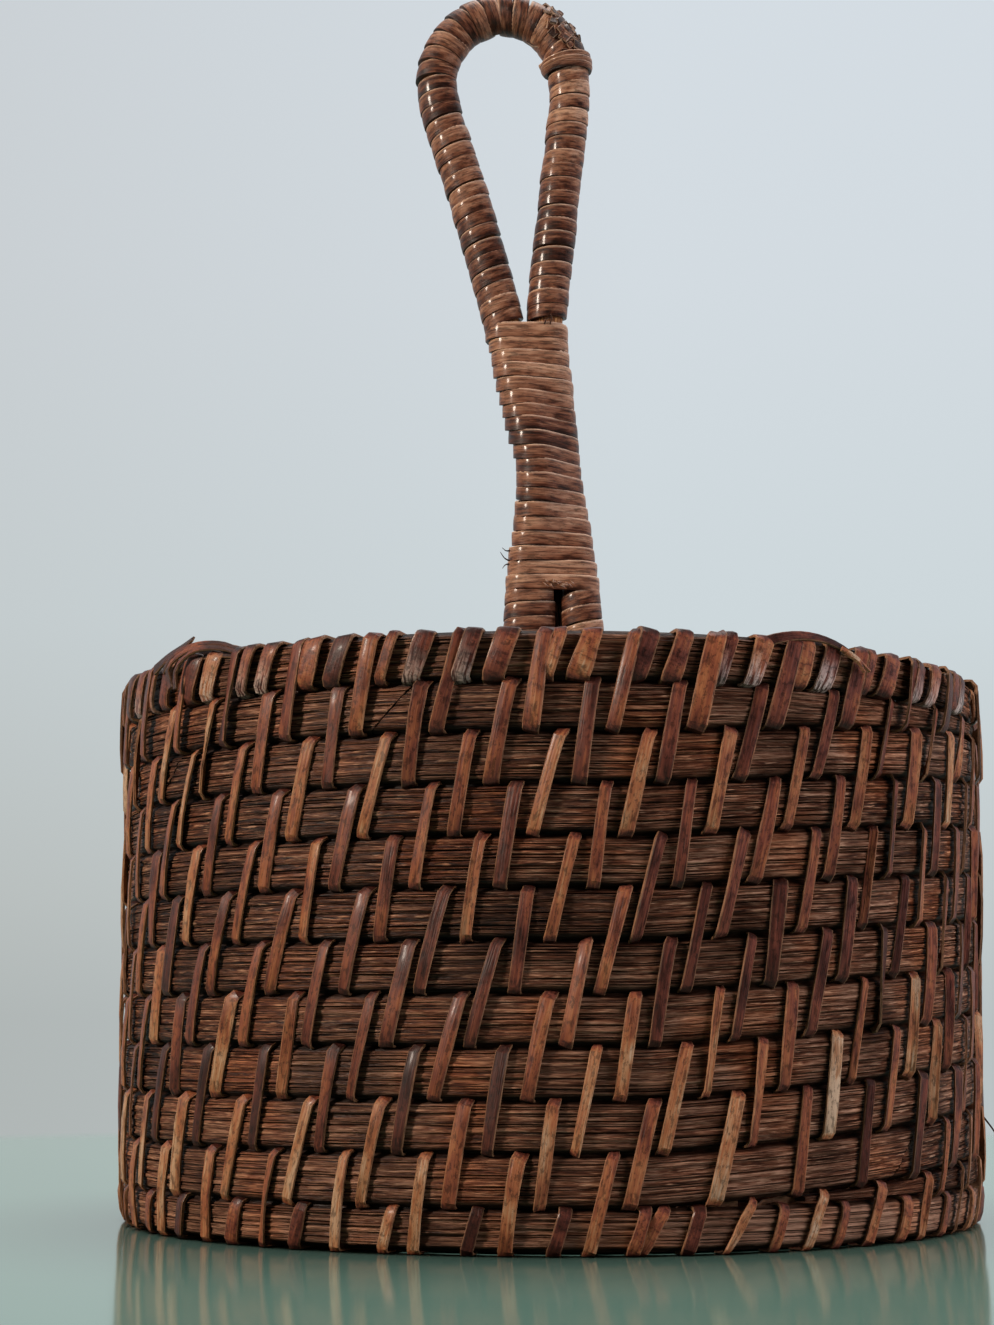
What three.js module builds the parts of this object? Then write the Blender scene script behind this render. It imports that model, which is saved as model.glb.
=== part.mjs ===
// Rattan glass carrier: a round coil-sewn basket on a hairpin handle, with six compartments.
// Millimetres, +Z up. The origin is the middle of the base, on the table, and the front faces -Y.
import * as THREE from 'three';

// Driving dimensions of the wall
const WALL_OUTER_R = 128.9;        // outer face of the flat courses
const COURSE_THICKNESS = 5;        // of a course, along the radius
const COURSE_PITCH = 13.42;        // one course and one gap
const COURSE_TURNS = 10;           // turns of the course between the foot ring and the rim ring
const FOOT_RING_HEIGHT = 9.3;
const RIM_RING_HEIGHT = 11.5;
const CLIMB_START = 10;            // degrees from the front, where the coil begins to climb
const CLIMB_ARC = 96;              // degrees in which each turn climbs one course
const TIP_HEIGHT = 1.2;            // of the course where it tapers in and out
const TOP_JOINT_ARC = 3570;        // degrees along the coil to the joint that shows under the rim
const STRIPS_BELOW_JOINT = 9;      // strips of core from the first tip to that joint
const SCARF_LENGTH = 12;           // slanted cut where two strips meet
const SCARF_GAP = 0.5;

// Driving dimensions of the cane straps
const STRAP_WIDTH = 3.5;
const STRAP_THICKNESS = 0.9;
const STRAP_CLEARANCE = 0.3;       // between a strap and what it binds
const STRAP_LEAN = 2.7;            // its top lies this far to the right of its middle
const STITCHES_PER_TURN = 35.57;   // the odd part of a step staggers each turn over the last
const LONG_STRANDS = 10;           // between the first turn of stitches and the rim
const SHORT_COURSE = 5;            // a tapered course lower than this gets no binding of its own
const OVERCAST_SHIFT = 0.25;       // of a stitch, from a long rim strap to the short one beside it
const OVERCAST_LEAN = 2.3;         // from the foot of a short rim strap to its top

// Driving dimensions of the base
const BASE_THICKNESS = 5;
const BASE_PITCH = 13.4;
const BASE_GAP = 0.8;              // between two turns of the base spiral
const BASE_EYE_R = 0.6;
const BASE_START_R = 3;
const BASE_CLEARANCE = 0.5;        // from the round edge of the base to the lowest straps

// Driving dimensions of the handle, with its leaning middle line
const ROD_R = 5.1;
const HANDLE_FOOT_X = 1.8;         // middle of the two legs in the basket
const FOOT_SPREAD = 20.4;          // between the legs' middles
const NECK_Z = 190;
const NECK_X = 1.2;
const NECK_SPREAD = 16.8;
const WAIST_Z = 229;
const WAIST_X = 0.3;
const WAIST_SPREAD = 7.4;
const WAIST_DEPTH = 7.8;           // the legs lie one before the other at the waist
const THROAT_Z = 249;
const THROAT_X = -2.9;
const THROAT_SPREAD = 9.6;
const THROAT_DEPTH = 5;
const CROTCH_Z = 276;
const CROTCH_X = -6.8;
const CROTCH_SPREAD = 12.9;
const LOOP_TOP_Z = 382.4;
const LOOP_RISE = 23.4;            // from the widest part of the loop to its top
const LOOP_SIDE_X = -14.4;
const LOOP_WIDTH = 43;

// Driving dimensions of the handle's windings
const WRAP_CLEARANCE = 0.45;
const WRAP_THICKNESS = 1.15;
const WRAP_GAP = 0.65;             // between two turns, along the middle line
const LOOP_WRAP_TURNS = 24;        // on each half of the loop
const LOOP_WRAP_START_Z = 278.6;
const TRUNK_WRAP_TURNS = 18;
const TRUNK_BOTTOM_Z = 191;
const TRUNK_TOP_Z = 276.6;
const TRUNK_WRAP_R = 6.05;         // inner radius of the winding round both legs
const LEG_WRAP_TURNS = 5;
const LEG_WRAP_PITCH = 4.7;
const LEG_WRAP_DROP = 2;           // from the trunk winding to the top of a leg winding

// Driving dimensions of the strip of core that keeps the legs apart
const SPACER_THICKNESS = 5;
const SPACER_GAP = 0.5;            // to the windings on both sides and the one above

// Driving dimensions of the dividers
const DIVIDER_COUNT = 6;
const DIVIDER_THICKNESS = 5;
const DIVIDER_HEIGHT = 80;
const DIVIDER_EDGE = 1.4;          // chamfer along its top
const DIVIDER_SEAT = 0.3;
const HUB_R = 10.6;                // inner end of a divider that passes beside the legs

// Facets
const ROW_STEP = 12;
const BASE_STEP = 20;
const ROD_SIDES = 8;
const LOOP_STATION = 6.6;
const TRUNK_STATION = 11;
const LEG_STATION = 40;
const LOOP_ARC_STEPS = 6;
const EVEN_SHARE = 0.01;           // courses this near to equal heights need no bend inside
const END_STATION = 1;             // degrees from the cut end of a strip to its next ring
const PATH_SAMPLES = 1200;

// Sizes that follow
const DEG = Math.PI / 180;
const COURSE_GAP = STRAP_THICKNESS + 2 * STRAP_CLEARANCE;
const FOOT_RING_Z = COURSE_GAP;
const FOOT_LINE = FOOT_RING_Z + FOOT_RING_HEIGHT + COURSE_GAP / 2;
const RIM_LINE = FOOT_LINE + COURSE_TURNS * COURSE_PITCH;
const RIM_TOP = RIM_LINE + COURSE_GAP / 2 + RIM_RING_HEIGHT;
const WALL_INNER_R = WALL_OUTER_R - COURSE_THICKNESS;
const STRAP_OUTER_R = WALL_OUTER_R + STRAP_CLEARANCE;
const STRAP_INNER_R = WALL_INNER_R * Math.cos((ROW_STEP / 2) * DEG) - STRAP_CLEARANCE;
const STITCH = 360 / STITCHES_PER_TURN;
const DEGREES_PER_MM = 1 / (WALL_OUTER_R * DEG);
const HALF_RUN = STITCH / 2 + STRAP_LEAN * DEGREES_PER_MM;
const FREE_R = STRAP_INNER_R * Math.cos(HALF_RUN * DEG) - STRAP_THICKNESS - STRAP_CLEARANCE;
const BASE_R = STRAP_INNER_R - STRAP_THICKNESS - BASE_CLEARANCE;
const WRAP_R = ROD_R + WRAP_CLEARANCE;
const LOOP_SIDE_Z = LOOP_TOP_Z - LOOP_RISE;

const COLOURS = { course: 0x4a3020, strap: 0x7a4528, base: 0x553824, rod: 0x9a7148, wrap: 0x8a5a38 };

const materials = {
  course: new THREE.MeshStandardMaterial({ color: COLOURS.course, roughness: 0.5, metalness: 0 }),
  strap: new THREE.MeshStandardMaterial({ color: COLOURS.strap, roughness: 0.35, metalness: 0 }),
  base: new THREE.MeshStandardMaterial({ color: COLOURS.base, roughness: 0.55, metalness: 0 }),
  rod: new THREE.MeshStandardMaterial({ color: COLOURS.rod, roughness: 0.6, metalness: 0 }),
  wrap: new THREE.MeshStandardMaterial({ color: COLOURS.wrap, roughness: 0.35, metalness: 0 }),
};

const group = new THREE.Group();
group.name = 'rattan_glass_carrier';

function add(name, geometry, material) {
  const mesh = new THREE.Mesh(geometry, material.clone());
  mesh.name = name;
  group.add(mesh);
  return mesh;
}

// Closed solid through a list of rings with the same number of points, capped at both ends
function loft(rings) {
  const sides = rings[0].length;
  const positions = rings.flat().flatMap((point) => [point.x, point.y, point.z]);
  const triangles = [];
  for (let i = 0; i < rings.length - 1; i += 1) {
    for (let j = 0; j < sides; j += 1) {
      const a = i * sides + j;
      const b = i * sides + ((j + 1) % sides);
      triangles.push([a, b, b + sides], [a, b + sides, a + sides]);
    }
  }
  const last = (rings.length - 1) * sides;
  for (let j = 1; j < sides - 1; j += 1) {
    triangles.push([0, j + 1, j], [last, last + j, last + j + 1]);
  }
  if (signedVolume(rings.flat(), triangles) < 0) {
    triangles.forEach((triangle) => triangle.reverse());
  }
  const geometry = new THREE.BufferGeometry();
  geometry.setAttribute('position', new THREE.Float32BufferAttribute(positions, 3));
  geometry.setIndex(triangles.flat());
  geometry.computeVertexNormals();
  return geometry;
}

function signedVolume(points, triangles) {
  const cross = new THREE.Vector3();
  return triangles.reduce((sum, [a, b, c]) => (
    sum + points[a].dot(cross.crossVectors(points[b], points[c])) / 6
  ), 0);
}

// A place on the wall: radius, degrees along the coil from where it begins to climb, and height
function onWall(radius, arc, z) {
  const angle = (CLIMB_START + arc) * DEG;
  return new THREE.Vector3(radius * Math.sin(angle), -radius * Math.cos(angle), z);
}

// Middle of the gap above the course at this many degrees along the coil
function lineZ(arc) {
  const turns = Math.floor(arc / 360);
  const climbed = Math.min(1, (arc - 360 * turns) / CLIMB_ARC);
  const z = FOOT_LINE + COURSE_PITCH * (turns + climbed);
  return THREE.MathUtils.clamp(z, FOOT_LINE, RIM_LINE);
}

const courseBottom = (arc) => lineZ(arc - 360) + COURSE_GAP / 2;
const courseTop = (arc) => lineZ(arc) - COURSE_GAP / 2;

// Degrees along the coil at which a strip gets a ring of points, kinks of the climb included
function stripStations(from, to) {
  const stations = [from + END_STATION, to - END_STATION];
  for (let i = Math.ceil(from / ROW_STEP); i * ROW_STEP < to; i += 1) {
    stations.push(i * ROW_STEP);
  }
  for (let turn = Math.floor(from / 360); turn * 360 <= to; turn += 1) {
    stations.push(turn * 360, turn * 360 + CLIMB_ARC);
  }
  stations.sort((a, b) => a - b);
  const inside = stations.filter((arc) => arc >= from + END_STATION && arc <= to - END_STATION);
  return inside.filter((arc, i) => i === 0 || arc - inside[i - 1] > END_STATION / 2);
}

// Strip of flat core standing on edge, between two heights, with slanted or blunt ends
function strip(from, to, bottom, top, slantFrom, slantTo) {
  const ring = (low, high) => [
    onWall(WALL_OUTER_R, low, bottom(low)),
    onWall(WALL_OUTER_R, high, top(high)),
    onWall(WALL_INNER_R, high, top(high)),
    onWall(WALL_INNER_R, low, bottom(low)),
  ];
  const rings = [ring(from - slantFrom, from + slantFrom)];
  stripStations(from + slantFrom, to - slantTo).forEach((arc) => rings.push(ring(arc, arc)));
  rings.push(ring(to - slantTo, to + slantTo));
  return loft(rings);
}

const HALF_SCARF = (SCARF_LENGTH / 2) * DEGREES_PER_MM;
const HALF_SEAM = (SCARF_GAP / 2) * DEGREES_PER_MM;
const TAPER_ARC = CLIMB_ARC * ((COURSE_GAP + TIP_HEIGHT) / COURSE_PITCH);
const COIL_START = TAPER_ARC;
const COIL_END = 360 * COURSE_TURNS + CLIMB_ARC - TAPER_ARC;

// Rings of one turn each: the foot that the wall is built on, and the rim that closes it
function ringStrip(name, joint, z, height) {
  const from = joint + HALF_SEAM;
  const to = joint + 360 - HALF_SEAM;
  add(name, strip(from, to, () => z, () => z + height, HALF_SCARF, HALF_SCARF), materials.course);
}

const FOOT_JOINT = 130;
const RIM_JOINT = 205;

// The coiled course, made of strips that meet at scarf joints
function makeCourses() {
  ringStrip('foot_ring', FOOT_JOINT, FOOT_RING_Z, FOOT_RING_HEIGHT);
  const stripArc = TOP_JOINT_ARC / STRIPS_BELOW_JOINT;
  for (let i = 0; i <= STRIPS_BELOW_JOINT; i += 1) {
    const isFirst = i === 0;
    const isTail = i === STRIPS_BELOW_JOINT;
    const from = isFirst ? COIL_START : i * stripArc + HALF_SEAM;
    const to = isTail ? COIL_END : (i + 1) * stripArc - HALF_SEAM;
    const slantFrom = isFirst ? 0 : HALF_SCARF;
    const slantTo = isTail ? 0 : HALF_SCARF;
    const name = `course_${String(i + 1).padStart(2, '0')}`;
    add(name, strip(from, to, courseBottom, courseTop, slantFrom, slantTo), materials.course);
  }
  ringStrip('rim_ring', RIM_JOINT, RIM_LINE + COURSE_GAP / 2, RIM_RING_HEIGHT);
}

// One ring of a strap: two edges that lie on the course and a raised middle
function strapRing(radius, arc, height, outward, upward) {
  const half = (STRAP_WIDTH / 2) * DEGREES_PER_MM;
  return [
    onWall(radius, arc - half, height(arc - half)),
    onWall(radius, arc + half, height(arc + half)),
    onWall(radius + outward * STRAP_THICKNESS, arc, height(arc) + upward * STRAP_THICKNESS),
  ];
}

// Rings of one stitch: over the top edge, down the outside, under, and back up on the inside
function stitchRings({ topArc, bottomArc, top, bottom, innerR, middle }) {
  const rings = [
    strapRing(innerR, topArc, top, -1, 1),
    strapRing(STRAP_OUTER_R, topArc, top, 1, 1),
    strapRing(STRAP_OUTER_R, bottomArc, bottom, 1, -1),
    strapRing(innerR, bottomArc, bottom, -1, -1),
  ];
  if (middle) {
    rings.push(strapRing(innerR, middle.arc, middle.height, -1, 0));
  }
  return rings;
}

const onCourse = (shift) => (arc) => lineZ(arc + shift) - COURSE_GAP / 2 + STRAP_CLEARANCE;
const underCourse = (shift) => (arc) => lineZ(arc + shift) + COURSE_GAP / 2 - STRAP_CLEARANCE;
const overRim = () => RIM_TOP + STRAP_CLEARANCE;
const underFoot = () => FOOT_RING_Z - STRAP_CLEARANCE;
const underRim = () => RIM_LINE + COURSE_GAP / 2 - STRAP_CLEARANCE;

// The rim strand takes over where the last course has tapered to a short one
const RIM_START = 360 * COURSE_TURNS + CLIMB_ARC * (1 - SHORT_COURSE / COURSE_PITCH);

// Past its first turn the coil lies on a tapered tip, and this much of it is too low to bind
const TIP_END = 360 + CLIMB_ARC * (SHORT_COURSE / COURSE_PITCH);

// A stitch binds the course at its place along the coil to the course below it. Where the two
// differ in height, its inner run bends halfway, so that it stays clear of its neighbours.
function lashingStitch(arc) {
  const topArc = arc + STRAP_LEAN * DEGREES_PER_MM;
  const bottomArc = arc - STRAP_LEAN * DEGREES_PER_MM;
  const isFoot = arc < 360;
  const top = arc >= RIM_START ? overRim : onCourse(0);
  const bottom = isFoot ? underFoot : underCourse(-720);
  const low = bottom(bottomArc);
  const share = (lineZ(arc - 360) - low) / (top(topArc) - low);
  const isUneven = share < 0.5 - EVEN_SHARE || (share > 0.5 + EVEN_SHARE && !isFoot);
  const middle = { arc: arc + STITCH / 2, height: (at) => lineZ(at - 360) };
  return { topArc, bottomArc, top, bottom, innerR: STRAP_INNER_R, middle: isUneven ? middle : null };
}

// A short strap round the rim ring alone, which lies over the other straps on the inside
function overcastStitch(arc) {
  const bottomArc = arc + OVERCAST_SHIFT * STITCH;
  return {
    topArc: bottomArc + OVERCAST_LEAN * DEGREES_PER_MM,
    bottomArc,
    top: overRim,
    bottom: underRim,
    innerR: FREE_R,
    middle: null,
  };
}

function strand(name, firstStitch, endStitch, stitchAt) {
  const rings = [];
  for (let i = firstStitch; i < endStitch; i += 1) {
    rings.push(...stitchRings(stitchAt(i * STITCH)));
  }
  add(name, loft(rings), materials.strap);
}

// Cane strands, each wound on for about one turn of the basket before the next is tucked in
function makeLashing() {
  const firstEnd = Math.ceil(360 / STITCH);
  const rimStitch = Math.ceil(RIM_START / STITCH);
  const rimEnd = rimStitch + Math.floor(STITCHES_PER_TURN);
  strand('lashing_01', 0, firstEnd, lashingStitch);
  let stitch = Math.ceil(TIP_END / STITCH);
  const perStrand = Math.ceil((rimStitch - stitch) / LONG_STRANDS);
  for (let i = 0; i < LONG_STRANDS; i += 1) {
    const end = Math.min(stitch + perStrand, rimStitch);
    strand(`lashing_${String(i + 2).padStart(2, '0')}`, stitch, end, lashingStitch);
    stitch = end;
  }
  strand('rim_lashing', rimStitch, rimEnd, lashingStitch);
  strand('rim_overcast', rimStitch, rimEnd, overcastStitch);
}

// Flat core laid in a spiral from a small eye, its last turn tapering out against a round edge
function makeBase() {
  const edge = (arc) => Math.min(BASE_PITCH * (arc / 360), BASE_R);
  const inner = (arc) => (arc < 360 ? BASE_EYE_R : edge(arc - 360) + BASE_GAP);
  const start = (BASE_START_R / BASE_PITCH) * 360;
  const end = 360 + ((BASE_R - BASE_GAP - TIP_HEIGHT) / BASE_PITCH) * 360;
  const ring = (arc) => [
    onWall(inner(arc), arc, 0),
    onWall(edge(arc), arc, 0),
    onWall(edge(arc), arc, BASE_THICKNESS),
    onWall(inner(arc), arc, BASE_THICKNESS),
  ];
  const rings = [ring(start)];
  for (let i = Math.floor(start / BASE_STEP) + 1; i * BASE_STEP < end - 0.5; i += 1) {
    rings.push(ring(i * BASE_STEP));
  }
  rings.push(ring(end));
  add('base_coil', loft(rings), materials.base);
  const outerTurn = rings.slice(rings.length - 360 / BASE_STEP);
  const gap = Math.min(...outerTurn.map(([innerPoint]) => Math.min(...rings.map(([, outerPoint]) => (
    innerPoint.distanceTo(outerPoint)
  )).filter((distance) => distance > 0))));
  console.log(`base_coil: least gap to itself ${gap.toFixed(2)} mm`);
}

// Middle line of the handle rod: up one leg, round the loop and down the other
function handlePath() {
  const side = (sign) => [
    [HANDLE_FOOT_X + (sign * FOOT_SPREAD) / 2, 0, BASE_THICKNESS + STRAP_CLEARANCE],
    [HANDLE_FOOT_X + (sign * FOOT_SPREAD) / 2, 0, RIM_LINE - COURSE_PITCH * 4],
    [HANDLE_FOOT_X + (sign * FOOT_SPREAD) / 2, 0, RIM_TOP],
    [NECK_X + (sign * NECK_SPREAD) / 2, 0, NECK_Z],
    [WAIST_X + (sign * WAIST_SPREAD) / 2, (sign * WAIST_DEPTH) / 2, WAIST_Z],
    [THROAT_X + (sign * THROAT_SPREAD) / 2, (sign * THROAT_DEPTH) / 2, THROAT_Z],
    [CROTCH_X + (sign * CROTCH_SPREAD) / 2, 0, CROTCH_Z],
    [
      (CROTCH_X + LOOP_SIDE_X + (sign * (CROTCH_SPREAD + LOOP_WIDTH)) / 2) / 2,
      0,
      (CROTCH_Z + LOOP_SIDE_Z) / 2,
    ],
  ];
  const top = [];
  for (let i = 0; i <= LOOP_ARC_STEPS; i += 1) {
    const angle = (i / LOOP_ARC_STEPS) * Math.PI;
    top.push([
      LOOP_SIDE_X - (LOOP_WIDTH / 2) * Math.cos(angle),
      0,
      LOOP_SIDE_Z + LOOP_RISE * Math.sin(angle),
    ]);
  }
  const points = [...side(-1), ...top, ...side(1).reverse()];
  const curve = new THREE.CatmullRomCurve3(
    points.map(([x, y, z]) => new THREE.Vector3(x, y, z)), false, 'centripetal',
  );
  curve.arcLengthDivisions = PATH_SAMPLES;
  return curve;
}

const path = handlePath();
const PATH_LENGTH = path.getLength();
const samples = path.getSpacedPoints(PATH_SAMPLES);
const TOP_SAMPLE = samples.reduce((best, point, i) => (point.z > samples[best].z ? i : best), 0);

// Distance along the middle line at which one leg passes a height
function legDistance(isRight, z) {
  const leg = isRight ? samples.slice(TOP_SAMPLE).reverse() : samples.slice(0, TOP_SAMPLE + 1);
  const above = Math.max(leg.findIndex((point) => point.z >= z), 1);
  const low = leg[above - 1];
  const share = (z - low.z) / (leg[above].z - low.z);
  const index = above - 1 + share;
  return ((isRight ? PATH_SAMPLES - index : index) / PATH_SAMPLES) * PATH_LENGTH;
}

const legPoint = (isRight, z) => path.getPointAt(legDistance(isRight, z) / PATH_LENGTH);

// Point beside the middle line, at an angle round it, in a frame that never twists
function roundRod(distance, angle, radius) {
  const share = THREE.MathUtils.clamp(distance / PATH_LENGTH, 0, 1);
  const along = path.getTangentAt(share);
  const across = new THREE.Vector3(0, 1, 0).cross(along).normalize();
  const forward = along.clone().cross(across);
  return path.getPointAt(share)
    .addScaledVector(across, radius * Math.cos(angle))
    .addScaledVector(forward, radius * Math.sin(angle));
}

function makeRod() {
  const leg = (isRight) => [RIM_TOP, CROTCH_Z].map((z) => legDistance(isRight, z));
  const [leftRim, leftCrotch] = leg(false);
  const [rightRim, rightCrotch] = leg(true);
  const distances = [
    ...evenly(0, leftRim, LEG_STATION),
    ...evenly(leftRim, leftCrotch, TRUNK_STATION),
    ...evenly(leftCrotch, rightCrotch, LOOP_STATION),
    ...evenly(rightCrotch, rightRim, TRUNK_STATION),
    ...evenly(rightRim, PATH_LENGTH, LEG_STATION),
    PATH_LENGTH,
  ];
  const rings = distances.map((distance) => {
    const ring = [];
    for (let side = 0; side < ROD_SIDES; side += 1) {
      ring.push(roundRod(distance, (side / ROD_SIDES) * 2 * Math.PI, ROD_R));
    }
    return ring;
  });
  add('handle_rod', loft(rings), materials.rod);
}

// Equal steps from one distance up to but not including the next
function evenly(from, to, step) {
  const count = Math.ceil((to - from) / step);
  return Array.from({ length: count }, (unused, i) => from + ((to - from) * i) / count);
}

// Least distance between the facing edges of neighbouring turns
function leastGap(rings, steps) {
  let least = Infinity;
  for (let i = 0; i + steps < rings.length; i += 1) {
    least = Math.min(least, rings[i][1].distanceTo(rings[i + steps][0]));
  }
  return least;
}

// Winding of flat cane: point(place, step, lift) gives the surface under and on the band
function winding(name, turns, steps, pitch, point) {
  const half = (pitch - WRAP_GAP) / 2;
  const rings = [];
  for (let i = 0; i <= turns * steps - 1; i += 1) {
    const place = half + (pitch * i) / steps;
    rings.push([point(place - half, i, 0), point(place + half, i, 0), point(place, i, WRAP_THICKNESS)]);
  }
  add(name, loft(rings), materials.wrap);
  console.log(`${name}: least gap to itself ${leastGap(rings, steps).toFixed(2)} mm`);
}

// Pitch at which a band with this many turns, and its own width past them, fills a length
const pitchFor = (length, turns) => (length + WRAP_GAP) / (turns + 1);

// Winding round one stretch of the rod
function rodWinding(name, from, to, turns) {
  const pitch = pitchFor(to - from, turns);
  winding(name, turns, ROD_SIDES, pitch, (place, step, lift) => (
    roundRod(from + place, (step / ROD_SIDES) * 2 * Math.PI, WRAP_R + lift)
  ));
}

// Winding round both legs, half a circle round each and straight between them
function trunkWinding() {
  const steps = 8;
  const pitch = pitchFor(TRUNK_TOP_Z - TRUNK_BOTTOM_Z, TRUNK_WRAP_TURNS);
  winding('trunk_wrap', TRUNK_WRAP_TURNS, steps, pitch, (place, step, lift) => {
    const z = TRUNK_BOTTOM_Z + place;
    const left = legPoint(false, z);
    const right = legPoint(true, z);
    const across = right.clone().sub(left).setZ(0).normalize();
    const forward = new THREE.Vector3(across.y, -across.x, 0);
    const k = step % steps;
    const isRight = k >= steps / 2;
    const angle = (90 + 22.5 + 45 * (k % (steps / 2)) + (isRight ? 180 : 0)) * DEG;
    return (isRight ? right : left).clone()
      .addScaledVector(across, (TRUNK_WRAP_R + lift) * Math.cos(angle))
      .addScaledVector(forward, (TRUNK_WRAP_R + lift) * Math.sin(angle));
  });
}

function makeHandle() {
  makeRod();
  const middle = (TOP_SAMPLE / PATH_SAMPLES) * PATH_LENGTH;
  rodWinding('loop_wrap_left', legDistance(false, LOOP_WRAP_START_Z), middle, LOOP_WRAP_TURNS);
  rodWinding('loop_wrap_right', middle, legDistance(true, LOOP_WRAP_START_Z), LOOP_WRAP_TURNS);
  trunkWinding();
  const wrapLength = (LEG_WRAP_TURNS + 1) * LEG_WRAP_PITCH - WRAP_GAP;
  const legTop = TRUNK_BOTTOM_Z - LEG_WRAP_DROP;
  const leftTop = legDistance(false, legTop);
  const rightTop = legDistance(true, legTop);
  rodWinding('leg_wrap_left', leftTop - wrapLength, leftTop, LEG_WRAP_TURNS);
  rodWinding('leg_wrap_right', rightTop, rightTop + wrapLength, LEG_WRAP_TURNS);
}

// Strip of core on end between the legs, as wide at each height as their windings leave room for
function makeSpacer() {
  const bottom = BASE_THICKNESS + STRAP_CLEARANCE;
  const top = TRUNK_BOTTOM_Z - SPACER_GAP;
  const reach = WRAP_R + WRAP_THICKNESS + SPACER_GAP;
  const half = SPACER_THICKNESS / 2;
  const rings = [bottom, (bottom + RIM_TOP) / 2, RIM_TOP, (RIM_TOP + top) / 2, top].map((z) => {
    const from = legPoint(false, z).x + reach;
    const to = legPoint(true, z).x - reach;
    return [[from, -half], [to, -half], [to, half], [from, half]].map(([x, y]) => (
      new THREE.Vector3(x, y, z)
    ));
  });
  add('leg_spacer', loft(rings), materials.course);
}

// Upright panels that stand on the base and part it into equal compartments round the handle
function makeDividers() {
  const half = DIVIDER_THICKNESS / 2;
  const outerEnd = Math.sqrt((FREE_R - DIVIDER_SEAT) ** 2 - half ** 2);
  const profile = new THREE.Shape([
    new THREE.Vector2(-half, 0),
    new THREE.Vector2(half, 0),
    new THREE.Vector2(half, DIVIDER_HEIGHT - DIVIDER_EDGE),
    new THREE.Vector2(half - DIVIDER_EDGE, DIVIDER_HEIGHT),
    new THREE.Vector2(-half + DIVIDER_EDGE, DIVIDER_HEIGHT),
    new THREE.Vector2(-half, DIVIDER_HEIGHT - DIVIDER_EDGE),
  ]);
  const legEdge = FOOT_SPREAD / 2 + ROD_R + DIVIDER_SEAT;
  for (let i = 0; i < DIVIDER_COUNT; i += 1) {
    const angle = (i + 0.5) * (360 / DIVIDER_COUNT);
    const meetsRightLeg = Math.abs(angle - 90) < 1;
    const meetsLeftLeg = Math.abs(angle - 270) < 1;
    let innerEnd = HUB_R;
    if (meetsRightLeg) {
      innerEnd = legEdge + HANDLE_FOOT_X;
    } else if (meetsLeftLeg) {
      innerEnd = legEdge - HANDLE_FOOT_X;
    }
    const panel = new THREE.ExtrudeGeometry(profile, { depth: outerEnd - innerEnd, bevelEnabled: false });
    panel.rotateX(90 * DEG);
    panel.translate(0, -innerEnd, BASE_THICKNESS + DIVIDER_SEAT);
    panel.rotateZ(angle * DEG);
    add(`divider_${i + 1}`, panel, materials.base);
  }
}

makeBase();
makeCourses();
makeLashing();
makeHandle();
makeSpacer();
makeDividers();

export default group;
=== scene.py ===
# %% [markdown]
# # A rattan glass carrier
# The real object is a round basket, sewn from a flat core of split rattan that climbs in a coil, with
# a tall hairpin handle wound with cane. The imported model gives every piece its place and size, so it
# is loaded first. Each piece made here is a finer one that stands for a CAD node. Work is in
# millimetres, as a basket maker would measure, and is turned to metres when a mesh is written.

# %% The frame
import math

import bpy
import numpy as np
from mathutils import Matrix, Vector


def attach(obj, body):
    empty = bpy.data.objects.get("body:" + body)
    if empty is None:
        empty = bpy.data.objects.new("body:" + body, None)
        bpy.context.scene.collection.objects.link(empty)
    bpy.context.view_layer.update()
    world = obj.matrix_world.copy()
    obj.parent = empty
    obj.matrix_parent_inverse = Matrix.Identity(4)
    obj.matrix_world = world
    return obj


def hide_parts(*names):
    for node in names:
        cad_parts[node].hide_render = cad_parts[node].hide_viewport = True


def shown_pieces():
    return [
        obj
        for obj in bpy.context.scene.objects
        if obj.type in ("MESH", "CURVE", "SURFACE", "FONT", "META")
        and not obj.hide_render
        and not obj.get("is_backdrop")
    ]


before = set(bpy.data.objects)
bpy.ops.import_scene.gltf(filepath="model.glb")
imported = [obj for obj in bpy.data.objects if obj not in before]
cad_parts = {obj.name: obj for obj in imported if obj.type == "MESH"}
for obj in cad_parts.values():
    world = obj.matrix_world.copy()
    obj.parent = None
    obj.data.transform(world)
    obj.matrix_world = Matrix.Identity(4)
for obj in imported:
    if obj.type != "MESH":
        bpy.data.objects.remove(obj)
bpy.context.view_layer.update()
MM = 0.001

# %% [markdown]
# ## Camera
# The photograph was taken from low down and close by, so the rim bows upward. The camera's place and
# lens come from fitting the curves of the rim, the foot and the sides. The lens is given for a sensor
# whose width lies on the long side of the picture, and no shift is needed.

# %% The camera
CAMERA_PLACE = (-16.27, -739.04, 59.33)
CAMERA_TILT = 98.447
SENSOR = 36
FOCAL_PIXELS = 2384.7
PICTURE_HEIGHT = 1325


def select_only(*pieces):
    """Leaves only these pieces selected, because an operator acts on all that is selected."""
    bpy.ops.object.select_all(action="DESELECT")
    for piece in pieces:
        piece.select_set(True)
    if pieces:
        bpy.context.view_layer.objects.active = pieces[0]


select_only()
bpy.ops.object.camera_add(
    location=[value * MM for value in CAMERA_PLACE], rotation=(math.radians(CAMERA_TILT), 0, 0)
)
camera = bpy.context.object
camera.data.sensor_width = SENSOR
camera.data.lens = SENSOR * FOCAL_PIXELS / PICTURE_HEIGHT
camera.data.clip_start = 0.01
bpy.context.scene.camera = camera
print("Lens:", round(camera.data.lens, 1), "mm")

# %% [markdown]
# ## Colours and nodes
# Colours are written as the sRGB hex values that the eye knows, and one function turns them to the
# linear values that Blender mixes. Every material is a small network of nodes, so one helper adds a
# node, sets its values, links its inputs and fills its colour ramp.

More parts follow.
